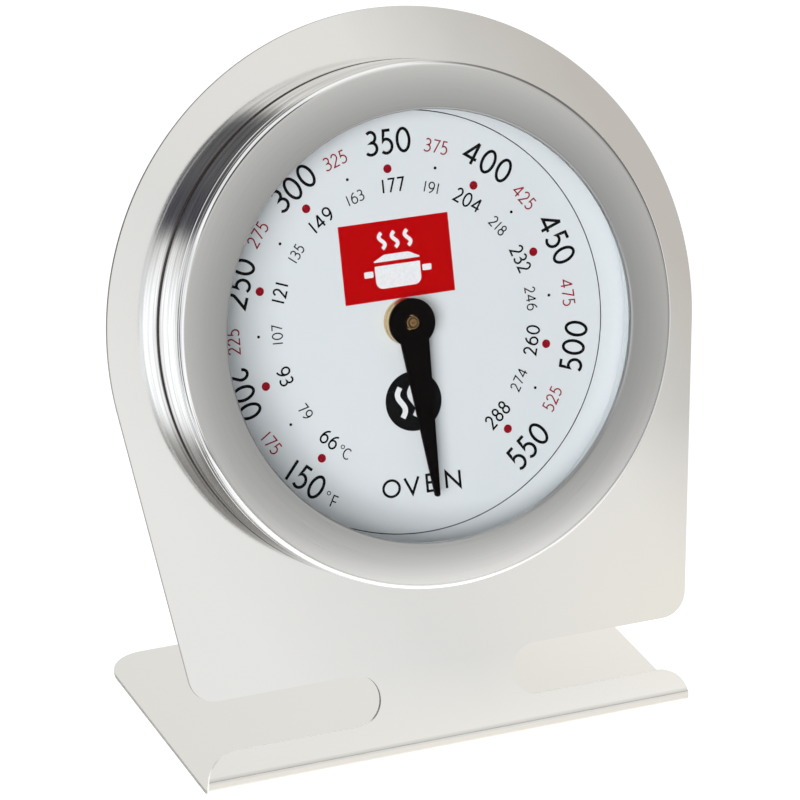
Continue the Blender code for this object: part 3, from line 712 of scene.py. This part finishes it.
def can_profile(can):
    """Front wall, step that rests on the plate, rear wall and back, all one sheet."""
    rear_inner = CAN_REAR_RADIUS - CAN_WALL
    rounding = (CAN_REAR_RADIUS - CAN_BACK_ROUNDING, can.back - CAN_BACK_ROUNDING)
    hole = NECK_RADIUS + 2.0 * GAP
    outside = [(can.outer, can.front), (can.outer, -2.0 * GAP), (can.outer - GAP, -GAP)]
    outside += [(CAN_REAR_RADIUS, -GAP)]
    outside += arc(rounding, CAN_BACK_ROUNDING, 0.0, math.pi / 2.0, 12)
    outside += [(hole, can.back)]
    inside = [(hole, can.back - CAN_WALL)]
    inside += arc(rounding, CAN_BACK_ROUNDING - CAN_WALL, math.pi / 2.0, 0.0, 12)
    inside += [(rear_inner, -GAP - CAN_WALL), (can.outer - CAN_WALL, -GAP - CAN_WALL)]
    inside += [(can.outer - CAN_WALL, can.front)]
    return outside + inside


def make_can(look):
    can = Span("case_cup")
    piece = new_piece("can_shell", turned(can_profile(can), ROUND), look,
                      replaces="case_cup")
    pins = bmesh.new()
    for index in range(VENT_COUNT):
        angle = math.tau * (index + 0.5) / VENT_COUNT
        place = (VENT_CIRCLE * math.cos(angle), VENT_CIRCLE * math.sin(angle))
        add_pin(pins, *place, VENT_RADIUS, can.back)
    for node in RIVETED:
        add_pin(pins, *Span(node).axis, NECK_RADIUS + GAP, can.back)
    cut_away(piece, pins)


def make_push_ring(look):
    """Behind the plate: a flat flange and a slotted collar that grips the can."""
    ring = Span("retaining_ring")
    flange = ring.front + 0.5 * MM
    collar = ring.inner + 0.6 * MM
    soft = 0.12 * MM
    profile = [
        (ring.inner, ring.front), (ring.outer - soft, ring.front), (ring.outer, ring.front + soft),
        (ring.outer, flange - soft), (ring.outer - soft, flange), (collar + soft, flange),
        (collar, flange + soft), (collar, ring.back - soft), (collar - soft, ring.back),
        (ring.inner + soft, ring.back), (ring.inner, ring.back - soft),
    ]
    piece = new_piece("push_ring", turned(profile, ROUND), look,
                      replaces="retaining_ring")
    blades = bmesh.new()
    height = ring.back - flange
    for index in range(NOTCH_COUNT):
        place = Matrix.Rotation(math.tau * index / NOTCH_COUNT, 4, "Y")
        place @= Matrix.Translation((ring.inner, flange + 0.75 * height, 0.0))
        place @= Matrix.Diagonal((2.0 * NOTCH_WIDTH, height, NOTCH_WIDTH, 1.0))
        bmesh.ops.create_cube(blades, size=1.0, matrix=place)
    cut_away(piece, blades)


def ring_face(ring, start, crest, steps):
    """Crowned face from the rounded edge to the crest beside the window."""
    points = []
    for step in range(steps + 1):
        share = step / steps
        depth = ring.front + RING_RISE * (1.0 - share) - RING_BULGE * 4.0 * share * (1.0 - share)
        points.append((start + (crest - start) * share, max(depth, ring.front)))
    return points


def side_wall(ring, start):
    """The wall draws in a little towards the front, past two fine grooves."""
    half = RING_GROOVE_WIDE / 2.0
    hold = half + 0.03 * MM
    points = []
    for step in range(12):
        depth = start + RING_TAPER_LENGTH * (1.0 - step / 12)
        if min(abs(depth - groove) for groove, _ in RING_GROOVES) > RING_GROOVE_WIDE:
            points.append((depth, 0.0))
    for groove, deep in RING_GROOVES:
        points += [(groove + hold, 0.0), (groove + half, 0.0), (groove, deep),
                   (groove - half, 0.0), (groove - hold, 0.0)]
    wall = []
    for depth, cut in sorted(points, reverse=True):
        share = 1.0 - (depth - start) / RING_TAPER_LENGTH
        wall.append((ring.outer - RING_TAPER * share * share - cut, depth))
    return wall


def front_ring_profile(ring, lip_end):
    """Grooved side wall, rounded edge, crowned face and a lip rolled in round the window."""
    crest = ring.inner + LIP_RADIUS
    slope = math.atan(2.0 * RING_TAPER / RING_TAPER_LENGTH)
    edge = (ring.outer - RING_TAPER - RING_EDGE_ROUNDING * math.cos(slope),
            ring.front + RING_RISE + RING_EDGE_ROUNDING)
    roll = (ring.outer - RING_BACK_ROLL, ring.back - RING_BACK_ROLL)
    outside = arc(roll, RING_BACK_ROLL, math.pi / 2.0, 0.0, 8)
    outside += [(ring.outer, roll[1] - 0.05 * MM)]
    outside += side_wall(ring, edge[1] - RING_EDGE_ROUNDING * math.sin(slope))
    outside += arc(edge, RING_EDGE_ROUNDING, -slope, -math.pi / 2.0, 14)
    face = ring_face(ring, edge[0], crest, 24)
    outside += face[1:]
    outside += arc((crest, ring.front + LIP_RADIUS), LIP_RADIUS, -math.pi / 2.0, -math.pi, 8)[1:]
    outside += [(ring.inner, lip_end)]
    inside = [(ring.inner + RING_WALL, lip_end)]
    inside += [(ring.inner + RING_WALL, ring.front + RING_WALL + LIP_RADIUS / 2.0)]
    inside += [(radius, depth + RING_WALL) for radius, depth in reversed(face[1:-1])]
    inside += arc(edge, RING_EDGE_ROUNDING - RING_WALL, -math.pi / 2.0, 0.0, 6)
    inside += [(ring.outer - RING_WALL, ring.back)]
    return outside + inside


def make_front_ring(look):
    ring = Span("bezel_ring")
    profile = front_ring_profile(ring, Span("lens").front - LIP_REACH)
    new_piece("front_ring", turned(profile, ROUND), look,
              replaces="bezel_ring")


def make_window(look):
    lens = Span("lens")
    soft = 0.3 * MM
    profile = [(lens.outer - soft, lens.front), (lens.outer, lens.front + soft),
               (lens.outer, lens.back - soft / 2.0), (lens.outer - soft / 2.0, lens.back)]
    new_piece("window_pane", turned(profile, ROUND, closed=False), look,
              replaces="lens")


# ---- dial and print

def make_dial(look):
    dial = Span("dial_plate")
    soft = 0.05 * MM
    profile = [
        (dial.inner + soft, dial.front), (dial.outer - soft, dial.front),
        (dial.outer, dial.front + soft), (dial.outer, dial.back), (dial.inner, dial.back),
        (dial.inner, dial.front + soft),
    ]
    new_piece("dial_disc", turned(profile, ROUND), look, replaces="dial_plate")


def ribbon(path, half, closed, front, back):
    """A stroke of constant width along a path, as a thin solid with mitred joints."""
    points = [Vector(point) for point in path]
    count = len(points)
    sides = []
    for index, point in enumerate(points):
        before = point - points[index - 1] if closed or index > 0 else None
        after = points[(index + 1) % count] - point if closed or index < count - 1 else None
        before = (before or after).normalized()
        after = (after or before).normalized()
        across = Vector((-(before + after).y, (before + after).x)).normalized()
        reach = half / max(0.35, across.dot(Vector((-after.y, after.x))))
        sides.append((point + across * reach, point - across * reach))
    mesh_data = bmesh.new()
    rings = []
    for left, right in sides:
        corners = ((left, front), (right, front), (right, back), (left, back))
        rings.append([mesh_data.verts.new((p.x, depth, p.y)) for p, depth in corners])
    return skin(mesh_data, rings, closed)


def bow(center, radii, start, end):
    """Arc of a character, its angles in degrees."""
    return arc(center, radii, math.radians(start), math.radians(end), 24)


def loop(center, radii):
    return bow(center, radii, 0.0, 360.0)[:-1]


def six():
    """Bowl and a stem that sweeps up from its left side."""
    return [(loop((0.5, 0.31), (0.5, 0.31)), True),
            (bow((0.9, 0.31), (0.9, 0.69), 180, 97), False)]


def nine():
    return [([(1.0 - x, 1.0 - z) for x, z in path], closed) for path, closed in six()]


# Each character: its width over its height, and its strokes in a unit box.
CHARACTERS = {
    "0": (0.62, [(loop((0.5, 0.5), (0.5, 0.5)), True)]),
    "1": (0.36, [([(0.5, 0.0), (0.5, 1.0)], False)]),
    "2": (0.54, [(bow((0.46, 0.72), (0.46, 0.28), 165, -35) + [(0.0, 0.0), (1.0, 0.0)], False)]),
    "3": (0.5, [(bow((0.4, 0.76), (0.5, 0.24), 140, -90)
                 + bow((0.36, 0.27), (0.64, 0.27), 80, -140), False)]),
    "4": (0.66, [([(0.72, 1.0), (0.0, 0.27), (1.0, 0.27)], False),
                 ([(0.72, 0.0), (0.72, 1.0)], False)]),
    "5": (0.52, [([(0.9, 1.0), (0.22, 1.0), (0.14, 0.58)]
                  + bow((0.4, 0.31), (0.6, 0.31), 112, -135), False)]),
    "6": (0.6, six()),
    "7": (0.55, [([(0.0, 1.0), (1.0, 1.0), (0.3, 0.0)], False)]),
    "8": (0.56, [(loop((0.5, 0.76), (0.41, 0.24)), True), (loop((0.5, 0.27), (0.5, 0.27)), True)]),
    "9": (0.6, nine()),
    "C": (0.78, [(bow((0.5, 0.5), (0.5, 0.5), 48, 312), False)]),
    "E": (0.58, [([(1.0, 1.0), (0.0, 1.0), (0.0, 0.0), (1.0, 0.0)], False),
                 ([(0.0, 0.52), (0.9, 0.52)], False)]),
    "F": (0.5, [([(1.0, 1.0), (0.0, 1.0), (0.0, 0.0)], False),
                ([(0.0, 0.5), (0.88, 0.5)], False)]),
    "N": (0.9, [([(0.0, 0.0), (0.0, 1.0), (1.0, 0.0), (1.0, 1.0)], False)]),
    "O": (1.05, [(loop((0.5, 0.5), (0.5, 0.5)), True)]),
    "V": (0.92, [([(0.0, 1.0), (0.5, 0.0), (1.0, 1.0)], False)]),
}


class Print:
    """Everything printed in one ink, gathered into one mesh."""

    def __init__(self, register, lift=0.0):
        x, z, turn = register
        self.mesh_data = bmesh.new()
        self.register = Matrix.Translation((x, 0.0, z)) @ Matrix.Rotation(turn, 4, "Y")
        self.front = Span("dial_plate").front - INK - lift
        self.back = self.front + 1.5 * INK

    def add(self, mesh, place):
        """Copy a mesh drawn at the origin to its place on the dial."""
        before = len(self.mesh_data.verts)
        self.mesh_data.from_mesh(mesh)
        self.mesh_data.verts.ensure_lookup_table()
        added = self.mesh_data.verts[before:]
        bmesh.ops.transform(self.mesh_data, matrix=self.register @ place, verts=added)

    def add_shape(self, shape, place=Matrix.Identity(4)):
        mesh = bpy.data.meshes.new("shape")
        shape.to_mesh(mesh)
        shape.free()
        self.add(mesh, place)

    def disc(self, x, z, radius, segments=SMALL_ROUND):
        self.add_shape(cut_sheet(circle(radius, segments, (x, z)), [], self.front, self.back))

    def outline(self, corners):
        self.add_shape(cut_sheet(rounded_outline(corners), [], self.front, self.back))

    def stroke(self, path, width, closed=False):
        self.add_shape(ribbon(path, width / 2.0, closed, self.front, self.back))

    def character(self, symbol, height, weight, place):
        self.add(character_mesh(symbol, height, weight, self.front, self.back), place)

    def label(self, text, height, weight, radius, angle, inward):
        """Text in a straight line, centred on a dial angle, tops outward or inward."""
        widths = [CHARACTERS[symbol][0] * height for symbol in text]
        space = SIDE_BEARING * height
        place = -(sum(widths) + space * (len(text) - 1)) / 2.0
        upright = Matrix.Rotation(math.pi if inward else 0.0, 4, "Y")
        middle = Matrix.Rotation(angle, 4, "Y") @ Matrix.Translation((0.0, 0.0, radius)) @ upright
        for symbol, width in zip(text, widths):
            step = Matrix.Translation((place + width / 2.0, 0.0, 0.0))
            self.character(symbol, height, weight, middle @ step)
            place += width + space

    def finish(self, name, look, slot):
        new_piece(name, self.mesh_data, look)


character_cache = {}


def character_mesh(symbol, height, weight, front, back):
    """One character centred on the origin, its strokes joined into one solid."""
    key = (symbol, height, weight, front)
    if key not in character_cache:
        share, strokes = CHARACTERS[symbol]
        wide, tall = share * height - weight, height - weight
        solids = [ribbon([((x - 0.5) * wide, (z - 0.5) * tall) for x, z in path],
                         weight / 2.0, closed, front, back) for path, closed in strokes]
        mesh = bpy.data.meshes.new("character")
        solids[0].to_mesh(mesh)
        for solid in solids[1:]:
            mesh = united(mesh, solid)
        character_cache[key] = mesh
    return character_cache[key]


def united(first, second_data):
    """Union of two thin solids."""
    second = bpy.data.meshes.new("stroke")
    second_data.to_mesh(second)
    whole, part = (new_object("stroke", mesh) for mesh in (first, second))
    combine(whole, part, "UNION")
    mesh = whole.data
    bpy.data.objects.remove(whole, do_unlink=True)
    return mesh


def print_scale(black, red):
    """Two rows of numbers, the outer one in Fahrenheit and the inner one in Celsius."""
    for value in range(FIRST_MARK, LAST_MARK + 1, MARK_STEP):
        angle = (value - TOP_MARK) * TURN_PER_DEGREE
        inward = abs(angle) > math.radians(100.0)
        celsius = str(round((value - 32) / 1.8))
        dot = (DOT_CIRCLE * math.sin(angle), DOT_CIRCLE * math.cos(angle))
        if value % (2 * MARK_STEP):
            black.disc(*dot, SMALL_DOT, 20)
            red.label(str(value), *OUTER_SMALL, 25.95 * MM, angle, inward)
            black.label(celsius, *INNER_SMALL, 19.7 * MM, angle, inward)
            continue
        red.disc(*dot, LARGE_DOT)
        outer, inner = (26.55 if inward else 26.15) * MM, 19.85 * MM
        outer_nudge = inner_nudge = 0.0
        if value == FIRST_MARK:
            outer, inner = 26.85 * MM, 20.15 * MM
            outer_nudge, inner_nudge = math.radians(1.1), math.radians(1.6)
        black.label(str(value), *OUTER_LARGE, outer, angle + outer_nudge, inward)
        black.label(celsius, *INNER_LARGE, inner, angle + inner_nudge, inward)


def print_units(black):
    """A degree ring and a letter after the first number of each row."""
    rows = (("F", UNIT_OUTER, 27.68 * MM, -150.5, 26.86 * MM, -147.8),
            ("C", INNER_SMALL, 20.66 * MM, -148.1, 20.04 * MM, -145.0))
    for letter, size, radius, angle, ring_radius, ring_angle in rows:
        black.label(letter, *size, radius, math.radians(angle), True)
        turn = math.radians(ring_angle)
        center = (ring_radius * math.sin(turn), ring_radius * math.cos(turn))
        black.stroke(circle(0.26 * MM, 20, center), 0.12 * MM, True)


def print_title(black):
    """The word for where the thermometer is used."""
    for symbol, x in zip("OVEN", TITLE_PLACES):
        place = Matrix.Translation((x, 0.0, TITLE_HEIGHT))
        black.character(symbol, *TITLE_LETTER, place)


def slab(left, right, top, bottom, top_soft=0.0, bottom_soft=0.0):
    """Corners of an upright rectangle, with the radii of its upper and its lower pair."""
    return [(left, top, top_soft), (right, top, top_soft),
            (right, bottom, bottom_soft), (left, bottom, bottom_soft)]


def upright_wave(mark, x, bottom, length, sway, width, steps):
    shares = [step / steps for step in range(steps + 1)]
    path = [(x + sway * math.sin(share * math.tau), bottom + length * share) for share in shares]
    mark.stroke(path, width)


def pot_with_steam(mark, height):
    """A generic cooking pot under three wisps of steam."""
    half, lid_half, handle_end = 3.5 * MM, 3.85 * MM, 5.2 * MM
    soft = 0.15 * MM
    mark.outline(slab(-half, half, height - 0.3 * MM, height - 3.6 * MM, soft, 1.1 * MM))
    lid = height + 0.25 * MM
    mark.outline([(-lid_half, lid, 0.1 * MM), (-1.9 * MM, lid + 1.0 * MM, 1.2 * MM),
                  (1.9 * MM, lid + 1.0 * MM, 1.2 * MM), (lid_half, lid, 0.1 * MM)])
    for left in (-handle_end, 3.8 * MM):
        mark.outline(slab(left, left + 1.4 * MM, height - 0.9 * MM, height - 1.8 * MM,
                          0.18 * MM, 0.18 * MM))
    for x in (-2.0 * MM, 0.0, 2.0 * MM):
        upright_wave(mark, x, height + 2.1 * MM, 2.3 * MM, 0.42 * MM, 0.55 * MM, 24)


def heat_waves(mark, height):
    """Three upright waves, a common sign for heat."""
    for x in (-1.9 * MM, 0.0, 1.9 * MM):
        upright_wave(mark, x, height - 2.2 * MM, 4.4 * MM, 0.5 * MM, 0.8 * MM, 32)


def print_dial(black_ink, red_ink, dark_red_ink, white_ink):
    """Scale, panel and badge, each ink in its own piece; white marks lie on the other inks."""
    black, red = Print(BLACK_REGISTER), Print(RED_REGISTER)
    print_scale(black, red)
    print_units(black)
    print_title(black)
    black.stroke(circle(SCALE_CIRCLE, ROUND), SCALE_LINE, True)
    black.finish("print_black", black_ink, "black_enamel")
    red.finish("print_red", dark_red_ink, None)
    panel, panel_mark = Print(RED_REGISTER), Print(RED_REGISTER, INK)
    half_wide, half_high = PANEL_SIZE[0] / 2.0, PANEL_SIZE[1] / 2.0
    panel.outline(slab(-half_wide, half_wide, PANEL_HEIGHT + half_high, PANEL_HEIGHT - half_high))
    panel.finish("print_panel", red_ink, None)
    pot_with_steam(panel_mark, PANEL_HEIGHT - 0.4 * MM)
    panel_mark.finish("print_panel_mark", white_ink, "white_enamel")
    badge, badge_mark = Print(BLACK_REGISTER), Print(BLACK_REGISTER, INK)
    badge.disc(0.0, BADGE_HEIGHT, BADGE_RADIUS, 96)
    badge.finish("print_badge", black_ink, "black_enamel")
    heat_waves(badge_mark, BADGE_HEIGHT)
    badge_mark.finish("print_badge_mark", white_ink, "white_enamel")


# ---- movement

def pointer_outline():
    """A round hub and a straight taper to a small round tip, pointing up."""
    hub, half, tip_half, length = 3.5 * MM, 2.15 * MM, 0.4 * MM, 25.5 * MM
    start = math.acos(half / hub)
    outline = arc((0.0, 0.0), hub, math.pi - start, math.tau + start, SMALL_ROUND)
    return outline + arc((0.0, length - tip_half), tip_half, 0.0, math.pi, 12)


def pointer_rest():
    """How far the pointer is turned from the top, seen from the front, in the CAD."""
    total = sum(dial_points("pointer"), Vector())
    return math.atan2(total.x, total.z)


def make_pointer(look):
    pointer = Span("pointer")
    holes = [circle(1.15 * MM, SMALL_ROUND)]
    mesh_data = cut_sheet(pointer_outline(), holes, pointer.front, pointer.back)
    mesh_data.transform(Matrix.Rotation(pointer_rest(), 4, "Y"))
    hand = new_piece("pointer_hand", mesh_data, look, TURNING, "pointer")
    rounded_edges(hand, 0.1 * MM, 3)
    baked(hand)


def make_pointer_sleeve(look):
    sleeve = Span("pointer_bush")
    soft = 0.06 * MM
    profile = [
        (sleeve.inner, sleeve.front + soft), (sleeve.inner + soft, sleeve.front),
        (sleeve.outer - soft, sleeve.front), (sleeve.outer, sleeve.front + soft),
        (sleeve.outer, sleeve.back), (sleeve.inner, sleeve.back),
    ]
    new_piece("pointer_sleeve", turned(profile, SMALL_ROUND), look, TURNING,
              "pointer_bush")


def make_arbor(look):
    """Straight shaft with a centre mark in its front end and a pointed back end."""
    arbor = Span("arbor")
    mark = 0.22 * MM
    point = 0.3 * MM
    soft = 0.06 * MM
    profile = [
        (0.01 * MM, arbor.front + mark), (mark, arbor.front), (arbor.outer - soft, arbor.front),
        (arbor.outer, arbor.front + soft), (arbor.outer, arbor.back - point),
        (arbor.outer / 2.0, arbor.back),
    ]
    new_piece("arbor_shaft", turned(profile, SMALL_ROUND, closed=False), look, TURNING,
              "arbor")


def make_dial_collar(look):
    """Brass bearing: a grooved collar on the dial's face, a stepped neck through the bridge."""
    bush = Span("front_bush")
    dial = Span("dial_plate")
    bridge = Span("bridge")
    soft = 0.15 * MM
    neck = dial.inner - 1.5 * GAP
    spigot = bridge.inner - GAP
    groove = (bush.front + dial.front) / 2.0
    profile = [
        (bush.inner, bush.front), (bush.outer - soft, bush.front), (bush.outer, bush.front + soft),
        (bush.outer, groove - soft), (bush.outer - soft, groove), (bush.outer, groove + soft),
        (bush.outer, dial.front - GAP), (neck, dial.front - GAP), (neck, bridge.front - GAP),
        (spigot, bridge.front - GAP), (spigot, bush.back), (bush.inner, bush.back),
    ]
    new_piece("dial_collar", turned(profile, SMALL_ROUND), look, replaces="front_bush")


def make_rear_bearing(look):
    """Flange inside the can, boss with a domed cap outside it."""
    bush = Span("rear_bush")
    can = Span("case_cup")
    bore = 0.68 * MM
    flange_back = can.back - CAN_WALL - GAP
    spigot = NECK_RADIUS + GAP
    profile = [(bore, Span("arbor").back + GAP), (bore, bush.front), (bush.outer, bush.front),
               (bush.outer, flange_back), (spigot, flange_back),
               *domed(spigot, bush.back, 0.35 * MM)]
    new_piece("rear_bearing", turned(profile, SMALL_ROUND, closed=False), look,
              replaces="rear_bush")


def make_rivet(name, node, look):
    """A round post whose outer end is peened into a dome behind the can."""
    post = Span(node)
    can = Span("case_cup")
    shoulder = can.back - CAN_WALL - GAP
    head_front = can.back + GAP
    profile = [(0.3 * MM, post.front), (post.outer, post.front), (post.outer, shoulder),
               (NECK_RADIUS, shoulder), (NECK_RADIUS, head_front), (post.outer, head_front),
               *domed(post.outer, post.back, 0.3 * MM)]
    new_piece(name, turned(profile, SMALL_ROUND, closed=False, axis=post.axis), look,
              replaces=node)


def make_coil(look):
    """A flat spiral of bimetal strip between the collet and the anchor."""
    coil = Span("bimetal_coil")
    steps = round(COIL_TURNS * COIL_STEPS)
    mesh_data = bmesh.new()
    rings = []
    for step in range(steps + 1):
        share = step / steps
        radius = COIL_INNER + (COIL_OUTER - COIL_INNER) * share
        angle = -math.pi / 2.0 - (1.0 - share) * COIL_TURNS * math.tau
        ring = []
        for reach, depth in ((radius, coil.front), (radius + COIL_STRIP, coil.front),
                             (radius + COIL_STRIP, coil.back), (radius, coil.back)):
            ring.append(mesh_data.verts.new(
                (reach * math.cos(angle), depth, reach * math.sin(angle))))
        rings.append(ring)
    new_piece("coil_spring", skin(mesh_data, rings, False), look,
              replaces="bimetal_coil")


def finish_carried_nodes(looks):
    """Soft edges and a full material for the CAD nodes that are kept as they are."""
    for node, (look, width) in looks.items():
        piece = frame["nodes"][node]
        piece.data.materials.clear()
        piece.data.materials.append(look.material)
        rounded_edges(piece, width)


# ---- stage

def white_floor():
    """Pale paper that ends a little way to the left and in front of the object."""
    left, right, front, back = -0.14, 3.0, -0.5, 3.0
    mesh_data = bmesh.new()
    corners = [(left, front, 0.0), (right, front, 0.0), (right, back, 0.0), (left, back, 0.0)]
    mesh_data.faces.new([mesh_data.verts.new(corner) for corner in corners])
    mesh = bpy.data.meshes.new("floor")
    mesh_data.to_mesh(mesh)
    mesh_data.free()
    look = Shader("floor_paper", (0.5, 0.5, 0.5), 0.0, 0.8)
    fibre = look.noise(look.coords, 900.0, 3.0, 0.6)
    look.tint(fibre, (0.49, 0.49, 0.488), (0.51, 0.51, 0.508))
    look.put("Emission Color", (1.0, 1.0, 1.0))
    look.put("Emission Strength", 0.95)
    mesh.materials.append(look.material)
    floor = new_object("floor", mesh)
    floor.location.z = -0.02 * MM
    floor.visible_diffuse = False


def direction(azimuth, elevation):
    """Unit vector towards a part of the studio; azimuth 0 is in front, positive to the right."""
    a, e = math.radians(azimuth), math.radians(elevation)
    return Vector((math.sin(a) * math.cos(e), -math.cos(a) * math.cos(e), math.sin(e)))


# Soft boxes and flags that polished metal mirrors: azimuth, elevation, radius where the edge
# begins, radius where it ends, and colour.
STUDIO = [
    (0.0, -90.0, 87.0, 96.0, (0.24, 0.235, 0.225)),
    (-75.0, 10.0, 30.0, 42.0, (1.25, 1.27, 1.3)),
    (-26.0, 10.0, 9.0, 20.0, (1.38, 1.41, 1.46)),
    (100.0, 15.0, 30.0, 54.0, (0.27, 0.26, 0.25)),
    (-18.0, 50.0, 13.0, 20.0, (0.05, 0.05, 0.07)),
    (-14.0, 38.0, 7.0, 12.0, (0.10, 0.10, 0.12)),
    (-3.0, 42.0, 6.0, 12.0, (0.14, 0.14, 0.15)),
    (-150.0, 12.0, 9.0, 17.0, (0.08, 0.08, 0.10)),
]


def world_light():
    """Even white light; what metal mirrors has the studio's boxes and flags in it."""
    world = bpy.data.worlds.new("studio")
    bpy.context.scene.world = world
    world.use_nodes = True
    sky = Wiring(world.node_tree)
    ray = sky.node("TexCoord", {}).outputs["Generated"]
    mirrored = (0.95, 0.95, 0.945)
    for azimuth, elevation, inner, outer, color in STUDIO:
        vectors = {0: ray, 1: direction(azimuth, elevation)}
        facing = sky.node("VectorMath", vectors, operation="DOT_PRODUCT").outputs["Value"]
        edge, core = math.cos(math.radians(outer)), math.cos(math.radians(inner))
        mirrored = sky.blend(sky.span(facing, edge, core, shape="SMOOTHSTEP"), mirrored, color)
    seen = sky.node("LightPath", {}).outputs
    lighting = sky.blend(seen["Is Glossy Ray"], AMBIENT, mirrored)
    backdrop = sky.blend(seen["Is Camera Ray"], lighting, BACKDROP)
    sky.feed(sky.nodes["Background"].inputs["Color"], backdrop)


def area_light(name, towards, size, power):
    """A square soft box aimed at the dial, placed by its direction in the dial's frame."""
    data = bpy.data.lights.new(name, "AREA")
    data.shape = "SQUARE"
    data.size = size
    data.energy = power
    data.spread = LAMP_SPREAD
    lamp = new_object(name, data)
    aim = DIAL.to_3x3() @ Vector(towards).normalized()
    lamp.location = DIAL.translation + aim * LAMP_DISTANCE
    lamp.rotation_mode = "QUATERNION"
    lamp.rotation_quaternion = aim.to_track_quat("Z", "Y")
    lamp.visible_glossy = False


def place_camera():
    """The photograph's camera: turned, pitched and rolled, then moved back along its view."""
    turn = Matrix.Rotation(VIEW_YAW, 4, "Z")
    turn @= Matrix.Rotation(math.pi / 2.0 - VIEW_PITCH, 4, "X")
    turn @= Matrix.Rotation(VIEW_ROLL, 4, "Z")
    offset = Matrix.Translation((-VIEW_ASIDE, -VIEW_BELOW, VIEW_DISTANCE))
    data = bpy.data.cameras.new("camera")
    data.lens = LENS_LENGTH
    data.clip_start = 0.05
    data.clip_end = 20.0
    camera = new_object("camera", data)
    camera.matrix_world = DIAL @ turn @ offset
    bpy.context.scene.camera = camera


def build():
    brass = plain_metal("warm_brass", (0.74, 0.54, 0.27), 0.2)
    steel = plain_metal("bright_steel", (0.6, 0.59, 0.58), 0.3)
    drawn = spun_metal("drawn_can", (0.72, 0.715, 0.7), 0.24, 0.08)
    make_stand(rolled_sheet(), sheared_edge())
    make_can(drawn)
    make_push_ring(spun_metal("spring_steel", (0.5, 0.49, 0.48), 0.3, 0.1))
    make_front_ring(polished_ring())
    make_window(window_glass())
    make_dial(enamel())
    print_dial(ink("ink_black", (0.006, 0.006, 0.0065)), ink("ink_red", (0.47, 0.001, 0.002)),
               ink("ink_dark_red", (0.27, 0.006, 0.015)), ink("ink_white", (0.8, 0.82, 0.84)))
    make_dial_collar(brass)
    make_rear_bearing(brass)
    make_arbor(plain_metal("arbor_brass", (0.34, 0.2, 0.09), 0.35))
    make_pointer(black_lacquer())
    make_pointer_sleeve(plain_metal("dull_brass", (0.3, 0.19, 0.09), 0.32))
    for node in RIVETED:
        make_rivet(node + "_post", node, steel)
    make_coil(plain_metal("bimetal_strip", (0.56, 0.47, 0.33), 0.3))
    aluminium = spun_metal("spacer_aluminium", (0.78, 0.785, 0.79), 0.3, 0.1)
    finish_carried_nodes({
        "lens_gasket": (rubber(), 0.1 * MM), "spacer_ring": (enamel(), 0.08 * MM),
        "dial_seat": (aluminium, 0.08 * MM), "bridge": (steel, 0.08 * MM),
        "bridge_screw_left": (steel, 0.06 * MM), "bridge_screw_right": (steel, 0.06 * MM),
        "coil_anchor": (steel, 0.08 * MM), "coil_collet": (brass, 0.06 * MM),
        "arbor_clip": (steel, 0.04 * MM), "thrust_washer": (steel, 0.04 * MM),
    })
    white_floor()
    world_light()
    area_light("key", (-0.62, -0.8, -0.06), 0.4, 0.74)
    area_light("fill", (-0.355, -0.925, 0.1), 0.3, 0.42)
    place_camera()
    bpy.context.scene.view_settings.view_transform = "Standard"


build()
